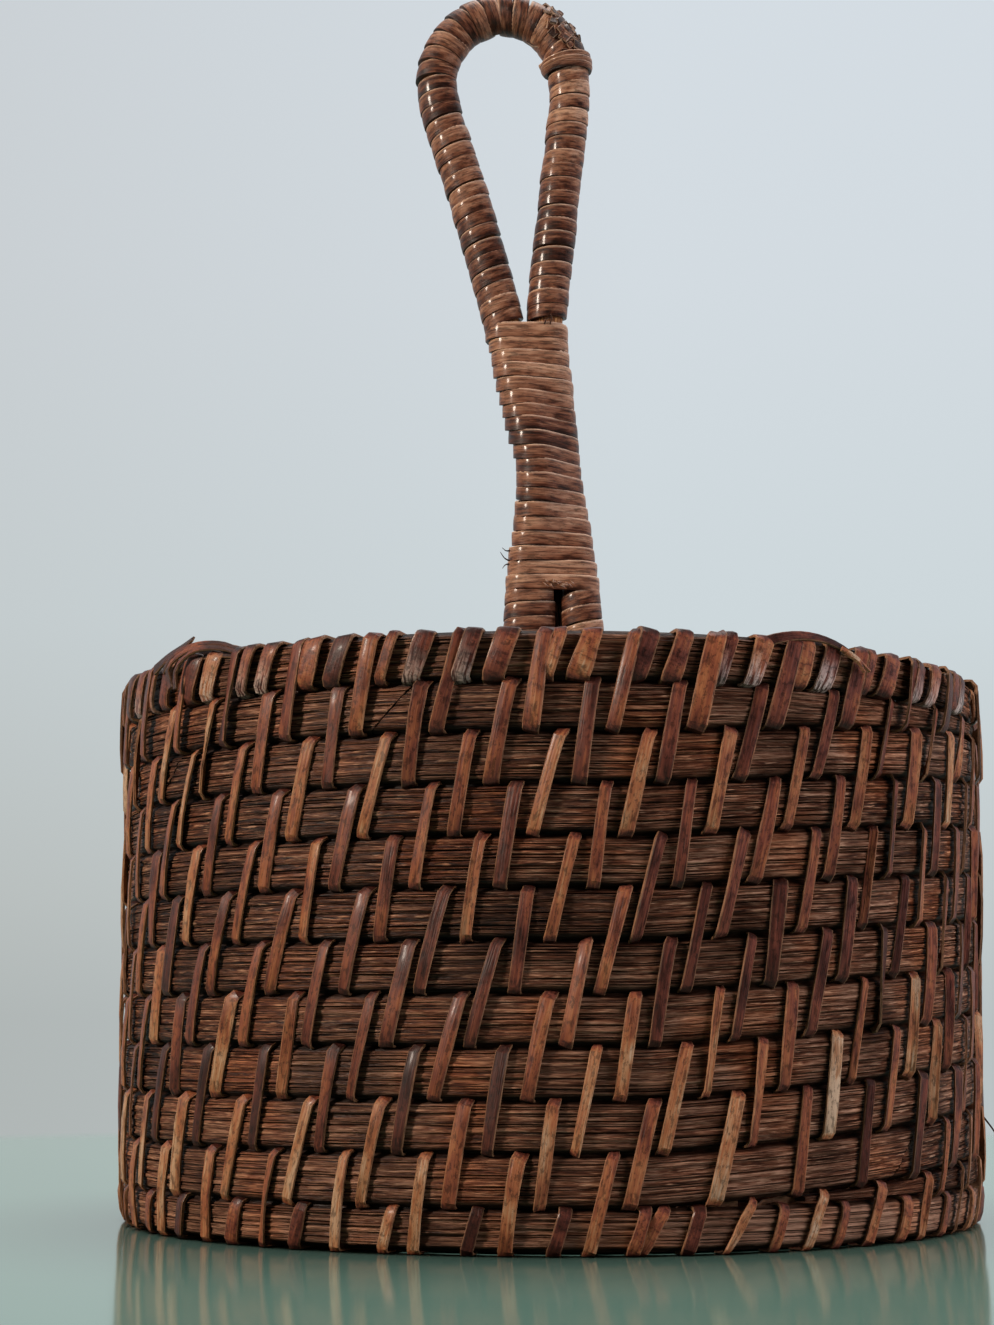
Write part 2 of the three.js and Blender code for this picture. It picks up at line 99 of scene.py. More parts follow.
# %% Helpers for materials
MULTIPLY = {"data_type": "RGBA", "blend_type": "MULTIPLY", 0: 1.0}


def colour(hex_code):
    """Linear RGBA from an sRGB hex value."""
    parts = [int(hex_code[i : i + 2], 16) / 255 for i in (1, 3, 5)]
    return tuple(c / 12.92 if c <= 0.04045 else ((c + 0.055) / 1.055) ** 2.4 for c in parts) + (1.0,)


def add_node(tree, kind, values=(), links=(), stops=(), out=0):
    """Adds a node with its values, links and ramp stops. Returns one output, or all where out is None."""
    node = tree.nodes.new("ShaderNode" + kind)
    for name, value in dict(values).items():
        if isinstance(name, int) or name in node.inputs:
            node.inputs[name].default_value = value
        else:
            setattr(node, name, value)
    for name, source in dict(links).items():
        tree.links.new(source, node.inputs[name])
    for i, (place, shade) in enumerate(stops):
        ramp = node.color_ramp.elements
        element = ramp[i] if i < 2 else ramp.new(place)
        element.position = place
        element.color = colour(shade) if isinstance(shade, str) else (shade, shade, shade, 1)
    return node.outputs if out is None else node.outputs[out]


def new_material(name):
    """An empty node material with its output node."""
    material = bpy.data.materials.new(name)
    material.use_nodes = True
    material.node_tree.nodes.clear()
    return material, material.node_tree, material.node_tree.nodes.new("ShaderNodeOutputMaterial")


# %% [markdown]
# ## Table top
# The photograph has a glass table in front of a pale wall. A round, pale grey-green table top keeps
# that mood. A low roughness gives it the mirror of glass, and it turns clear towards its edge, so no
# hard rim shows. It lies a hair below the object, so the two never share a face.

# %% The floor
FLOOR_R, FLOOR_DEPTH, FLOOR_DROP = 585, 20, 0.2
FADE_START = 500

select_only()
bpy.ops.mesh.primitive_cylinder_add(
    vertices=128, radius=FLOOR_R * MM, depth=FLOOR_DEPTH * MM,
    location=(0, 0, -(FLOOR_DEPTH / 2 + FLOOR_DROP) * MM),
)
floor = bpy.context.object
floor.name = "table_top"
bpy.ops.object.transform_apply(location=True)
floor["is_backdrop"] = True

floor_material, tree, output = new_material("pale_table_glass")
place = add_node(tree, "TexCoord", out="Object")
radius = add_node(tree, "VectorMath", {"operation": "LENGTH"}, {0: place}, out="Value")
fade = add_node(
    tree, "MapRange",
    {"From Min": FADE_START * MM, "From Max": FLOOR_R * MM, "interpolation_type": "SMOOTHSTEP"},
    {"Value": radius},
)
top = add_node(
    tree, "BsdfPrincipled",
    {"Base Color": colour("#6A9187"), "Roughness": 0.11, "IOR": 1.38, "Specular Tint": colour("#8FCFBB")},
)
clear = add_node(tree, "BsdfTransparent")
mixed = add_node(tree, "MixShader", {}, {0: fade, 1: top, 2: clear})
tree.links.new(mixed, output.inputs["Surface"])
floor.data.materials.append(floor_material)
print("Table top:", FLOOR_R * 2, "mm across")

# %% [markdown]
# ## Surround
# The pale blue-grey wall is there for the camera and for reflections. All other rays meet a dim even
# sky instead, so the object's colours stay as written, and Light Path tells the rays apart. Only the
# wall behind the object is mirrored, because the room in front of it was darker.

# %% The sky
world = bpy.data.worlds.new("pale_studio")
bpy.context.scene.world = world
world.use_nodes = True
tree = world.node_tree
tree.nodes.clear()
output = tree.nodes.new("ShaderNodeOutputWorld")
ray = add_node(tree, "LightPath", out=None)
x, y, z = add_node(tree, "SeparateXYZ", {}, {0: add_node(tree, "TexCoord", out="Generated")}, out=None)
behind = add_node(tree, "MapRange", {"From Min": -0.1, "From Max": 0.35}, {"Value": y})
mirrored = add_node(tree, "Math", {"operation": "MULTIPLY"}, {0: ray["Is Glossy Ray"], 1: behind})
seen = add_node(tree, "Math", {"operation": "ADD"}, {0: ray["Is Camera Ray"], 1: mirrored})
through = ray["Is Transmission Ray"]
seen = add_node(tree, "Math", {"operation": "ADD", "use_clamp": True}, {0: seen, 1: through})
height_stops = [
    (0.0, "#B9C1C2"), (0.05, "#C2CACB"), (0.16, "#CDD7DB"),
    (0.3, "#D3DBE1"), (0.45, "#D5DDE4"), (1.0, "#D3DBE1"),
]
shade = add_node(tree, "ValToRGB", {}, {0: z}, height_stops)
across = add_node(tree, "MapRange", {"From Min": -0.2, "From Max": 0.06}, {"Value": x})
side_tint = add_node(tree, "ValToRGB", {}, {0: across}, [(0.0, "#F4F2F0"), (1.0, "#FFFFFF")])
shade = add_node(tree, "Mix", MULTIPLY, {6: shade, 7: side_tint}, out=2)
backdrop = add_node(tree, "Background", {"Strength": 1.0}, {"Color": shade})
sky = add_node(tree, "Background", {"Color": colour("#F2E6DC"), "Strength": 0.08})
mixed = add_node(tree, "MixShader", {}, {0: seen, 1: sky, 2: backdrop})
tree.links.new(mixed, output.inputs["Surface"])
print("Nodes of the sky:", len(tree.nodes))

# %% [markdown]
# ## Lamps
# Round area lamps stand for a window at each side and the bright ceiling. Light linking gives the
# table a lamp of its own and keeps the others off it, so the table can be pale while the object is lit
# at a plain level. The wide lamp at the right would lay a milky gloss over the cane, so reflections
# don't show it.

# %% The lamps
# Each has its place, the height over the table that it faces, its width, its power and its tint
LAMPS = {
    "window_left": ((-1380, -850, 900), 140, 320, 37, "#FFEDDC"),
    "window_right": ((1500, -600, 600), 140, 1500, 41, "#EDF0FF"),
    "sky_above": ((100, 300, 1500), 100, 900, 9, "#FFF4EC"),
    "table_lamp": ((0, 200, 1900), 100, 1500, 52, "#FFF4EC"),
}
MIRRORED_LAMPS = ("window_left", "sky_above")

for name, (place, faced, width, power, tint) in LAMPS.items():
    select_only()
    bpy.ops.object.light_add(type="AREA", location=[value * MM for value in place])
    lamp = bpy.context.object
    lamp.name = name
    lamp.rotation_euler = (Vector((0, 0, faced)) - Vector(place)).to_track_quat("-Z", "Y").to_euler()
    lamp.data.shape = "DISK"
    lamp.data.size = width * MM
    lamp.data.energy = power
    lamp.data.color = colour(tint)[:3]
    lamp.visible_camera = False
    lamp.visible_glossy = name in MIRRORED_LAMPS
    receivers = bpy.data.collections.new(f"{name}_receivers")
    receivers.objects.link(floor)
    link = receivers.collection_objects[0].light_linking
    link.link_state = "INCLUDE" if name == "table_lamp" else "EXCLUDE"
    lamp.light_linking.receiver_collection = receivers
bpy.context.scene.view_settings.view_transform = "Standard"

# %% [markdown]
# ## Sizes of the wall
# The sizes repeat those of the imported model. line_z gives the height of the gap above the course at
# any place along the coil. It climbs one course in a short stretch of each turn, as on the real wall.

# %% The coil's own numbers
WALL_OUTER_R = 128.9
COURSE_THICKNESS = 5
COURSE_PITCH = 13.42
COURSE_TURNS = 10
COURSE_GAP = 1.5
FOOT_RING_HEIGHT = 9.3
RIM_RING_HEIGHT = 11.5
CLIMB_START = 10
CLIMB_ARC = 96
TIP_HEIGHT = 1.2
SHORT_COURSE = 5
STRAP_WIDTH = 3.5
STRAP_THICKNESS = 0.9
STRAP_CLEARANCE = 0.3
STRAP_LEAN = 2.7
STITCH = 360 / 35.57
FOOT_LINE = COURSE_GAP + FOOT_RING_HEIGHT + COURSE_GAP / 2
RIM_LINE = FOOT_LINE + COURSE_TURNS * COURSE_PITCH
RIM_TOP = RIM_LINE + COURSE_GAP / 2 + RIM_RING_HEIGHT
WALL_MIDDLE_R = WALL_OUTER_R - COURSE_THICKNESS / 2
DEGREES_PER_MM = 360 / (2 * math.pi * WALL_OUTER_R)
DRAWN_IN, DRAWN_IN_BELOW = 1.4, 13
DENT, DENT_ANGLE, DENT_SPREAD, DENT_TOP = 1.3, 88, 35, 75
SAG, SAG_ANGLE, SAG_SPREAD = 1.8, 60, 24
print("Top of the rim:", round(RIM_TOP, 1), "mm")


# %% Places on the wall
def line_z(arc):
    """Height of the middle of the gap above the course, at these degrees along the coil."""
    arc = np.asarray(arc, float)
    turns = np.floor(arc / 360)
    climbed = np.minimum(1, (arc - 360 * turns) / CLIMB_ARC)
    return np.clip(FOOT_LINE + COURSE_PITCH * (turns + climbed), FOOT_LINE, RIM_LINE)


def wander(x, seed):
    """A smooth random line: a random value in -1 to 1 at each whole number, eased between."""
    values = np.random.default_rng(seed).uniform(-1, 1, 1024)
    low = np.floor(x).astype(int)
    share = x - low
    share = share * share * (3 - 2 * share)
    return values[low % 1024] * (1 - share) + values[(low + 1) % 1024] * share


def hump(x, middle, spread):
    """A smooth rise to 1 round a middle value."""
    return np.exp(-(((x - middle) / spread) ** 2))


def on_wall(out, arc, z):
    """A place on the wall: distance outward from the middle of its thickness, degrees, height.

    The old wall isn't true. It swells a little, its foot is drawn in, and at the right its lower half
    is dented and its rim sags."""
    z = np.asarray(z, float)
    angle = np.radians(CLIMB_START + np.asarray(arc, float))
    from_front = np.degrees(angle) % 360
    swell = 0.35 * np.sin(2 * angle + 0.9 + z * 0.03) + 0.25 * np.sin(5 * angle + z * 0.06)
    foot = DRAWN_IN * np.clip(1 - z / DRAWN_IN_BELOW, 0, 1)
    dent = DENT * hump(from_front, DENT_ANGLE, DENT_SPREAD) * np.clip((DENT_TOP - z) / 50, 0, 1)
    sag = SAG * hump(from_front, SAG_ANGLE, SAG_SPREAD) * np.clip((z - RIM_LINE) / 12, 0, 1)
    reach = WALL_MIDDLE_R + out + swell - foot - dent
    return np.stack([reach * np.sin(angle), -reach * np.cos(angle), z - sag], -1)


print("Gap lines at the front:", [round(float(line_z(360 * i + 350)), 1) for i in range(10)])

# %% [markdown]
# ## From a flat grid to a bar
# Core, straps and windings are all long bars with a small section. By hand such a bar would be drawn
# as a ring and extruded many times. A grid primitive rolled into a tube gives the same bar at once,
# with even squares and a UV map that runs along it. Each corner has a station, its place along the
# bar, and a row, its place round it. With these, code can lay the bar along any path.

# %% Reading and writing a mesh
def read_all(data, field, size=1):
    """One field of all of a mesh's points, corners or attribute values, with size numbers each."""
    values = np.empty(len(data) * size)
    data.foreach_get(field, values)
    return values.reshape(-1, size)


def above_table(points):
    """Presses flat what would dip below the table."""
    points = np.array(points, float)
    points[:, 2] = np.maximum(points[:, 2], 0)
    return points


def write_points(mesh, points):
    """Moves the points of a mesh to these places in millimetres."""
    mesh.vertices.foreach_set("co", (above_table(points) * MM).ravel())
    mesh.update()


def keep(mesh, **attributes):
    """Keeps a value for each point of a mesh, for its material."""
    for name, values in attributes.items():
        attribute = mesh.attributes.get(name) or mesh.attributes.new(name, "FLOAT", "POINT")
        attribute.data.foreach_set("value", np.asarray(values, np.float32))


# %% A rolled bar
ROLL_R = 1000
OUTWARD = (bpy.ops.mesh.normals_make_consistent, {"inside": False})


def edit_whole(piece, *steps):
    """Selects the whole of a piece in edit mode and applies operators to it."""
    select_only(piece)
    bpy.ops.object.mode_set(mode="EDIT")
    bpy.ops.mesh.select_all(action="SELECT")
    for operator, settings in steps:
        operator(**settings)
    bpy.ops.object.mode_set(mode="OBJECT")


def rolled_bar(name, columns, rows):
    """A grid rolled into a closed bar, with each corner's station and row. It is wide and long at
    first, so that merging by distance closes the seam and nothing else."""
    select_only()
    bpy.ops.mesh.primitive_grid_add(x_subdivisions=columns, y_subdivisions=rows, size=2)
    bar = bpy.context.object
    bar.name = name
    flat = read_all(bar.data.vertices, "co", 3)
    along = np.rint((flat[:, 0] + 1) / 2 * columns)
    row = np.rint((flat[:, 1] + 1) / 2 * rows) % rows
    turn = row / rows * 2 * math.pi
    write_points(bar.data, ROLL_R * np.stack([along, np.cos(turn), np.sin(turn)], 1))
    keep(bar.data, along=along, row=row)
    close_seam = (bpy.ops.mesh.remove_doubles, {"threshold": 0.001})
    close_ends = (bpy.ops.mesh.fill_holes, {"sides": 0})
    edit_whole(bar, close_seam, close_ends, OUTWARD)
    station, row = (
        np.rint(read_all(bar.data.attributes[kept].data, "value")[:, 0]).astype(int)
        for kept in ("along", "row")
    )
    return bar, station, row


def scale_uv(mesh, length, girth):
    """Turns the UV map from shares to metres along and round the bar."""
    layer = mesh.uv_layers[0].data
    layer.foreach_set("uv", (read_all(layer, "uv", 2) * (length * MM, girth * MM)).ravel())


# %% The finish of a piece
def finish_piece(piece, material, nodes=(), smooth=50):
    """Turns all faces outward, smooths them up to an angle, gives the finish and rides on the object."""
    edit_whole(piece, OUTWARD)
    bpy.ops.object.shade_smooth_by_angle(angle=math.radians(smooth))
    piece.data.materials.clear()
    piece.data.materials.append(material)
    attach(piece, "root")
    if nodes:
        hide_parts(*nodes)
    return piece


# %% [markdown]
# ## Finish of the core: stained split rattan
# The core is the split inside of the rattan stem. Its open pores and long fibres take a brown stain
# unevenly and shine only where they stand proud. Streaks follow the UV map: coarse ones 10 mm long and
# 0.8 mm high, fine ones 3 mm by 0.3 mm, and pale dashes 6 mm long on the ridges, worn fibres with a
# painted highlight. Real pores are finer still, but wouldn't show. The depth attribute darkens the
# grooves and the edges of each course with painted shade. tone shifts the stain from fibre to fibre;
# on the wall it also lightens the foot, and on the spacer between the legs it adds painted shade.


# %% Core material
def split_core(name, stops, patch_stops, worn_and_highlight_hex):
    """A core finish: ramp of its stain, tints of its patches and colour of its pale dashes, worn fibres with
    a painted highlight.
    """
    material, tree, output = new_material(name)
    uv = add_node(tree, "TexCoord", out="UV")
    place = add_node(tree, "TexCoord", out="Object")
    depth, tone = (
        add_node(tree, "Attribute", {"attribute_name": kept}, out="Fac") for kept in ("depth", "tone")
    )
    noises = []
    for scale, detail in (((100, 1300, 1), 3.0), ((330, 3000, 1), 2.0), ((170, 2300, 1), 2.0)):
        spot = add_node(tree, "Mapping", {"Scale": scale}, {"Vector": uv})
        noises.append(add_node(tree, "TexNoise", {"Scale": 1.0, "Detail": detail}, {"Vector": spot}))
    streak, fine, worn = noises
    patch = add_node(tree, "TexNoise", {"Scale": 34.0, "Detail": 2.0}, {"Vector": place})
    blend = add_node(tree, "Math", {"operation": "MULTIPLY_ADD", 1: 0.35}, {0: fine, 2: streak})
    blend = add_node(tree, "Math", {"operation": "ADD"}, {0: blend, 1: tone})
    base = add_node(tree, "ValToRGB", {}, {0: blend}, stops)
    # Pale dashes on the ridges: worn fibres with a painted highlight.
    dash = add_node(tree, "ValToRGB", {}, {0: worn}, [(0.57, 0.0), (0.66, 0.7)])
    dash = add_node(tree, "Math", {"operation": "MULTIPLY"}, {0: dash, 1: depth})
    base = add_node(tree, "Mix", {"data_type": "RGBA", 7: colour(worn_and_highlight_hex)}, {0: dash, 6: base}, out=2)
    tint = add_node(tree, "ValToRGB", {}, {0: patch}, patch_stops)
    # Painted shade: where depth is low, in the grooves and at the course edges, the colour goes nearly black.
    groove = add_node(tree, "ValToRGB", {}, {0: depth}, [(0.1, 0.13), (0.85, 1.0)])
    for layer in (tint, groove):
        base = add_node(tree, "Mix", MULTIPLY, {6: base, 7: layer}, out=2)
    rough = add_node(tree, "MapRange", {"To Min": 0.36, "To Max": 0.7}, {"Value": fine})
    relief = add_node(tree, "Math", {"operation": "ADD"}, {0: streak, 1: fine})
    bump = add_node(tree, "Bump", {"Strength": 1.0, "Distance": 0.0005}, {"Height": relief})
    shader = add_node(
        tree, "BsdfPrincipled", {"IOR": 1.52, "Specular IOR Level": 0.22},
        {"Base Color": base, "Roughness": rough, "Normal": bump},
    )
    tree.links.new(shader, output.inputs["Surface"])
    return material


# %% Two core finishes
wall_core = split_core(
    "stained_split_rattan",
    [(0.45, "#170A06"), (0.58, "#3E2318"), (0.72, "#664534"), (0.95, "#A28572")],
    [(0.34, "#A28A7A"), (0.5, "#F2DACA"), (0.66, "#FFCBA6")],
    "#B89C86",
)
base_core = split_core(
    "plain_split_rattan",
    [(0.42, "#22130B"), (0.58, "#472A1B"), (0.72, "#6B462F"), (0.95, "#94704F")],
    [(0.34, "#B5A497"), (0.5, "#FFE6D3"), (0.66, "#FFD0A6")],
    "#B0906C",
)
print("Core finishes:", wall_core.name, base_core.name)

# %% [markdown]
# ## The core of the wall
# Each course is a flat bundle of rattan about 12 mm high. Its outer face shows long fibres of uneven
# width with grooves between them, and a fibre lifts, sinks or ends every few centimetres. The bar gets
# three corners for each fibre and is bent round the wall. Between the faces the courses nearly touch,
# as pressed rattan does, so that no light comes through.

# %% Section of the core
FIBRE_WIDTHS = [1.6, 0.6, 0.8, 1.5, 0.5, 1.9, 0.6, 0.7, 1.6, 0.5, 1.2, 0.6, 1.1]
FIBRES = len(FIBRE_WIDTHS)
BACK_FIBRES = 5
SQUEEZE = 0.8
GROOVE_DEPTH, BACK_GROOVE_DEPTH = 0.36, 0.4
EDGE_ROUNDING, BACK_ROUNDING = 1.1, 0.7
STATION_LENGTH = 2.6
BREAKS = 4096

fibre_edges = np.concatenate([[0], np.cumsum(FIBRE_WIDTHS)]) / sum(FIBRE_WIDTHS)
outer_rows = [
    low + (high - low) * step for low, high in zip(fibre_edges, fibre_edges[1:]) for step in (0, 0.28, 0.75)
] + [1.0]
inner_rows = [(k + step) / BACK_FIBRES for k in reversed(range(BACK_FIBRES)) for step in (0.8, 0.25, 0)]
SHARE = np.array(outer_rows + [1.0, 1.0] + inner_rows + [0.0])
DEPTH = np.array([0, 1, 1] * FIBRES + [0, 0, 0] + [1, 1, 0] * BACK_FIBRES + [0])
SIDE = np.array([1] * len(outer_rows) + [0] + [-1] * (1 + len(inner_rows)) + [0])
CORE_ROWS = len(SHARE)
print("Corners round the core:", CORE_ROWS)


# %% The shape of the core
def fibre_lift(place, fibre, seed):
    """How far a fibre stands proud along its length: a slow swell and a new height at each break."""
    swell = 0.16 * wander(place / 23 + fibre * 7.3, seed)
    piece = np.floor((place + fibre * 31.7) / (24 + 8 * (fibre % 4))).astype(int)
    steps = np.random.default_rng(seed + 5).uniform(-0.42, 0.18, BREAKS)
    return swell + steps[(piece * 13 + fibre * 101) % BREAKS]


def core_shape(station, row, places, bottom, top, surface, seed, lean):
    """Corners of a core and how deep in a groove each lies, with painted shade at its edges folded in.

    places are those of its stations on the surface, bottom and top give its two edges there."""
    share, depth, side = SHARE[row], DEPTH[row], SIDE[row]
    s = places[station] + lean * (2 * share - 1)
    fibre = np.searchsorted(fibre_edges, np.minimum(share, 0.999), side="right") - 1
    lift = fibre_lift(station * STATION_LENGTH, fibre, seed)
    groove = GROOVE_DEPTH * np.clip(1 + 1.7 * wander(station / 6 + fibre * 5.7, seed + 4), 0.05, 2.5)
    depth = np.where(side > 0, np.maximum(depth, 1 - groove / 0.5), depth)
    # Painted shade: depth is pressed down near the gaps above and below the course, most at the lower edge,
    # so the fibres there go dark.
    gap_shade = 0.97 * np.clip(1 - share / 0.15, 0, 1) + 0.85 * np.clip(1 - (1 - share) / 0.08, 0, 1)
    depth = np.where(side > 0, depth * (1 - gap_shade), depth)
    edge = np.abs(2 * share - 1) ** 10
    half = COURSE_THICKNESS / 2
    out = np.where(side > 0, half - EDGE_ROUNDING * edge + (DEPTH[row] - 1) * groove + lift * depth, 0)
    out = np.where(side < 0, -half + BACK_ROUNDING * edge - (depth - 1) * BACK_GROOVE_DEPTH, out)
    low, high = bottom(s), top(s)
    z = low + share * (high - low)
    press = np.clip((high - low) / 8, 0, 1) * SQUEEZE
    z = z + np.where(side == 0, np.where(share > 0.5, press, -press), 0)
    inside = (side > 0) & (share > 0.01) & (share < 0.99)
    z = z + 0.12 * wander(station / 7 + fibre * 3.1, seed + 9) * inside
    return surface(out, s, z), depth


# %% A bar of core
def core_bar(name, places, bottom, top, surface, seed, tone, length, slants=(0, 0), limits=(), girth=34):
    """A bar of core. slants lean its two ends, limits are (axis, low, high), tone lightens or darkens its
    colour.
    """
    columns = len(places) - 1
    bar, station, row = rolled_bar(name, columns, CORE_ROWS)
    share = station / columns
    lean = slants[0] * (1 - share) ** 60 + slants[1] * share**60
    points, depth = core_shape(station, row, places, bottom, top, surface, seed, lean)
    if limits:
        axis, low, high = limits
        points[:, axis] = np.clip(points[:, axis], low, high)
    write_points(bar.data, points)
    keep(bar.data, depth=depth, tone=tone(station, row, points))
    scale_uv(bar.data, length, girth)
    return bar


# %% The courses
CORE_STEP = 1.3
SCARF = 6 * DEGREES_PER_MM
SEAM = 0.25 * DEGREES_PER_MM
TAPER_ARC = CLIMB_ARC * ((COURSE_GAP + TIP_HEIGHT) / COURSE_PITCH)
COIL_END = 360 * COURSE_TURNS + CLIMB_ARC - TAPER_ARC
STRIP_ARC = 3570 / 9
FOOT_JOINT = 130
RIM_JOINT = 205
FIBRE_BREAK = 7


def level(z):
    """An edge at one height all along."""
    return lambda place: z + 0 * place


def make_core(name, node, start, end, slants, bottom, top, seed):
    """One strip of core, bent round the wall, with slanted ends where it meets the next."""
    columns = int((end - start) / CORE_STEP)
    places = start + (end - start) * np.arange(columns + 1) / columns

    def tone(station, row, points):
        block = row / 3 * 1.3 + np.floor(station / FIBRE_BREAK + row * 0.37) * 5.1
        foot = 0.22 * np.clip(1.6 - points[..., 2] / 9, 0, 1)
        return foot + 0.07 * wander(station / 40, seed + 2) + 0.09 * wander(block, seed)

    length = (end - start) / DEGREES_PER_MM
    bar = core_bar(name, places, bottom, top, on_wall, seed, tone, length, slants)
    return finish_piece(bar, wall_core, [node], smooth=40)


foot_z, rim_z = COURSE_GAP, RIM_LINE + COURSE_GAP / 2
make_core(
    "foot_core", "foot_ring", FOOT_JOINT + SEAM, FOOT_JOINT + 360 - SEAM, (SCARF, SCARF),
    level(foot_z), level(foot_z + FOOT_RING_HEIGHT), 11,
)
for i in range(10):
    make_core(
        f"wall_core_{i + 1:02d}", f"course_{i + 1:02d}",
        TAPER_ARC if i == 0 else i * STRIP_ARC + SEAM, COIL_END if i == 9 else (i + 1) * STRIP_ARC - SEAM,
        (0 if i == 0 else SCARF, 0 if i == 9 else SCARF),
        lambda arc: line_z(arc - 360) + COURSE_GAP / 2, lambda arc: line_z(arc) - COURSE_GAP / 2, 20 + 10 * i,
    )
make_core(
    "rim_core", "rim_ring", RIM_JOINT + SEAM, RIM_JOINT + 360 - SEAM, (SCARF, SCARF),
    level(rim_z), level(rim_z + RIM_RING_HEIGHT), 140,
)

# %% [markdown]
# ## Finish of the straps: cane, the glossy skin of rattan
# Cane is the shaved skin of the stem. Its outer face is smooth and hard and takes stain in streaks,
# with dark specks where the skin was nicked, and its two cut edges stay pale. Strands from different
# stems differ, so an attribute for stain and painted shade picks the place on the colour ramp for each
# stitch; its painted shade darkens the ends of a strap that dive into the gaps and the lower side of
# each winding turn. Two more attributes, edge and worn, bring in the pale cut edges and the streaks
# rubbed bare by wear; on the windings the pale upper edge is a cut edge with a painted highlight. The
# streaks are 11 mm long and 0.4 mm wide, and the clouds of a strap 9 mm by 3 mm.


# %% Cane material
def skin_cane(name, stops, edge_hex, cloudy, blotchy, cloud_scale, speck_scale, coat):
    """A cane finish: ramp of its stain and painted shade, colour of its cut edges with their painted
    highlight on the windings, and how uneven and glossy it is.
    """
    material, tree, output = new_material(name)
    uv = add_node(tree, "TexCoord", out="UV")
    stain, edge, worn = (
        add_node(tree, "Attribute", {"attribute_name": kept}, out="Fac") for kept in ("stain", "edge", "worn")
    )
    noises = []
    for scale, detail, roughness in (
        ((90, 2600, 1), 3.0, 0.5),
        (cloud_scale, 3.0, 0.5),
        ((speck_scale * 0.6, speck_scale * 1.5, 1), 5.0, 0.75),
    ):
        spot = add_node(tree, "Mapping", {"Scale": scale}, {"Vector": uv})
        values = {"Scale": 1.0, "Detail": detail, "Roughness": roughness}
        noises.append(add_node(tree, "TexNoise", values, {"Vector": spot}))
    streak, cloud, speck = noises
    for noise, share in ((cloud, cloudy), (streak, 0.15)):
        values = {"From Min": 0.3, "From Max": 0.7, "To Min": -share, "To Max": share}
        shift = add_node(tree, "MapRange", values, {"Value": noise})
        stain = add_node(tree, "Math", {"operation": "ADD"}, {0: stain, 1: shift})
    # The ramp is read at the stain, lowered by painted shade where the pieces carry it.
    base = add_node(tree, "ValToRGB", {}, {0: stain}, stops)
    rubbed = add_node(tree, "ValToRGB", {}, {0: streak}, [(0.42, 0.0), (0.56, 1.0)])
    rubbed = add_node(tree, "Math", {"operation": "MULTIPLY"}, {0: worn, 1: rubbed})
    # The edge mix paints the pale cut edges, and on the windings a painted highlight along the upper edge.
    for share, pale_hex in ((edge, edge_hex), (rubbed, "#B9A195")):
        base = add_node(tree, "Mix", {"data_type": "RGBA", 7: colour(pale_hex)}, {0: share, 6: base}, out=2)
    for noise, dark_stops, share in (
        (cloud, [(0.36, 0.4), (0.42, 1.0)], blotchy),
        (speck, [(0.42, 0.42), (0.5, 1.0)], 1.0),
    ):
        layer = add_node(tree, "ValToRGB", {}, {0: noise}, dark_stops)
        base = add_node(tree, "Mix", {**MULTIPLY, 0: share}, {6: base, 7: layer}, out=2)
    rough = add_node(tree, "MapRange", {"To Min": 0.32, "To Max": 0.67}, {"Value": cloud})
    relief = add_node(tree, "Math", {"operation": "MULTIPLY_ADD", 1: 0.6}, {0: speck, 2: streak})
    bump = add_node(tree, "Bump", {"Strength": 0.8, "Distance": 0.0003}, {"Height": relief})
    shader = add_node(
        tree, "BsdfPrincipled",
        {"IOR": 1.5, "Specular IOR Level": 0.28, "Coat Weight": coat, "Coat Roughness": 0.16},
        {"Base Color": base, "Roughness": rough, "Normal": bump},
    )
    tree.links.new(shader, output.inputs["Surface"])
    return material


# %% Finish of the straps
strap_cane = skin_cane(
    "stained_cane",
    [
        (0.0, "#31150F"), (0.2, "#462119"), (0.4, "#633225"),
        (0.58, "#7F462D"), (0.74, "#925A38"), (0.88, "#9C704E"), (1.0, "#AC8C70"),
    ],
    "#A87C58", cloudy=0.2, blotchy=0.4, cloud_scale=(110, 300, 1), speck_scale=700, coat=0.06,
)
print("Cane finish:", strap_cane.name)

# %% [markdown]
# ## Stitches
# A stitch comes out of the gap above its course, leans down over two courses, goes into the gap below
# and climbs inside to the next stitch. One stitch is modelled as a bar of fourteen stations with a
# crowned section, and is copied for every stitch of a strand. Each copy is laid along its own path,
# a little wider, looser or more twisted than the last, as hand-drawn cane is.

# %% One stitch
STATIONS = 14
STRAP_SECTION = np.array(
    [(-0.96, 0.0), (-1, 0.72), (-0.8, 1.0), (0, 1.06), (0.8, 1.0), (1, 0.72), (0.96, 0.0)]
)
CUT_EDGE = (0, 1, 5, 6)
STITCH_LENGTH, STITCH_GIRTH = 62, 7

stitch_bar, stitch_station, stitch_row = rolled_bar("one_stitch", STATIONS - 1, len(STRAP_SECTION))
scale_uv(stitch_bar.data, STITCH_LENGTH, STITCH_GIRTH)
stitch_uv = read_all(stitch_bar.data.uv_layers[0].data, "uv", 2)
stitch_faces = [list(face.vertices) for face in stitch_bar.data.polygons]
bpy.data.objects.remove(stitch_bar)
print("Faces of one stitch:", len(stitch_faces))


# %% Laying a bar along a path
def unit(vectors):
    return vectors / np.maximum(np.linalg.norm(vectors, axis=-1, keepdims=True), 1e-9)


def frames(points, normals, roll):
    """Directions across and off a path, turned about it by a roll in radians."""
    along = unit(np.gradient(points, axis=0))
    across = unit(np.cross(along, normals))
    off = np.cross(across, along)
    c, s = np.cos(roll)[:, None], np.sin(roll)[:, None]
    return across * c + off * s, off * c - across * s


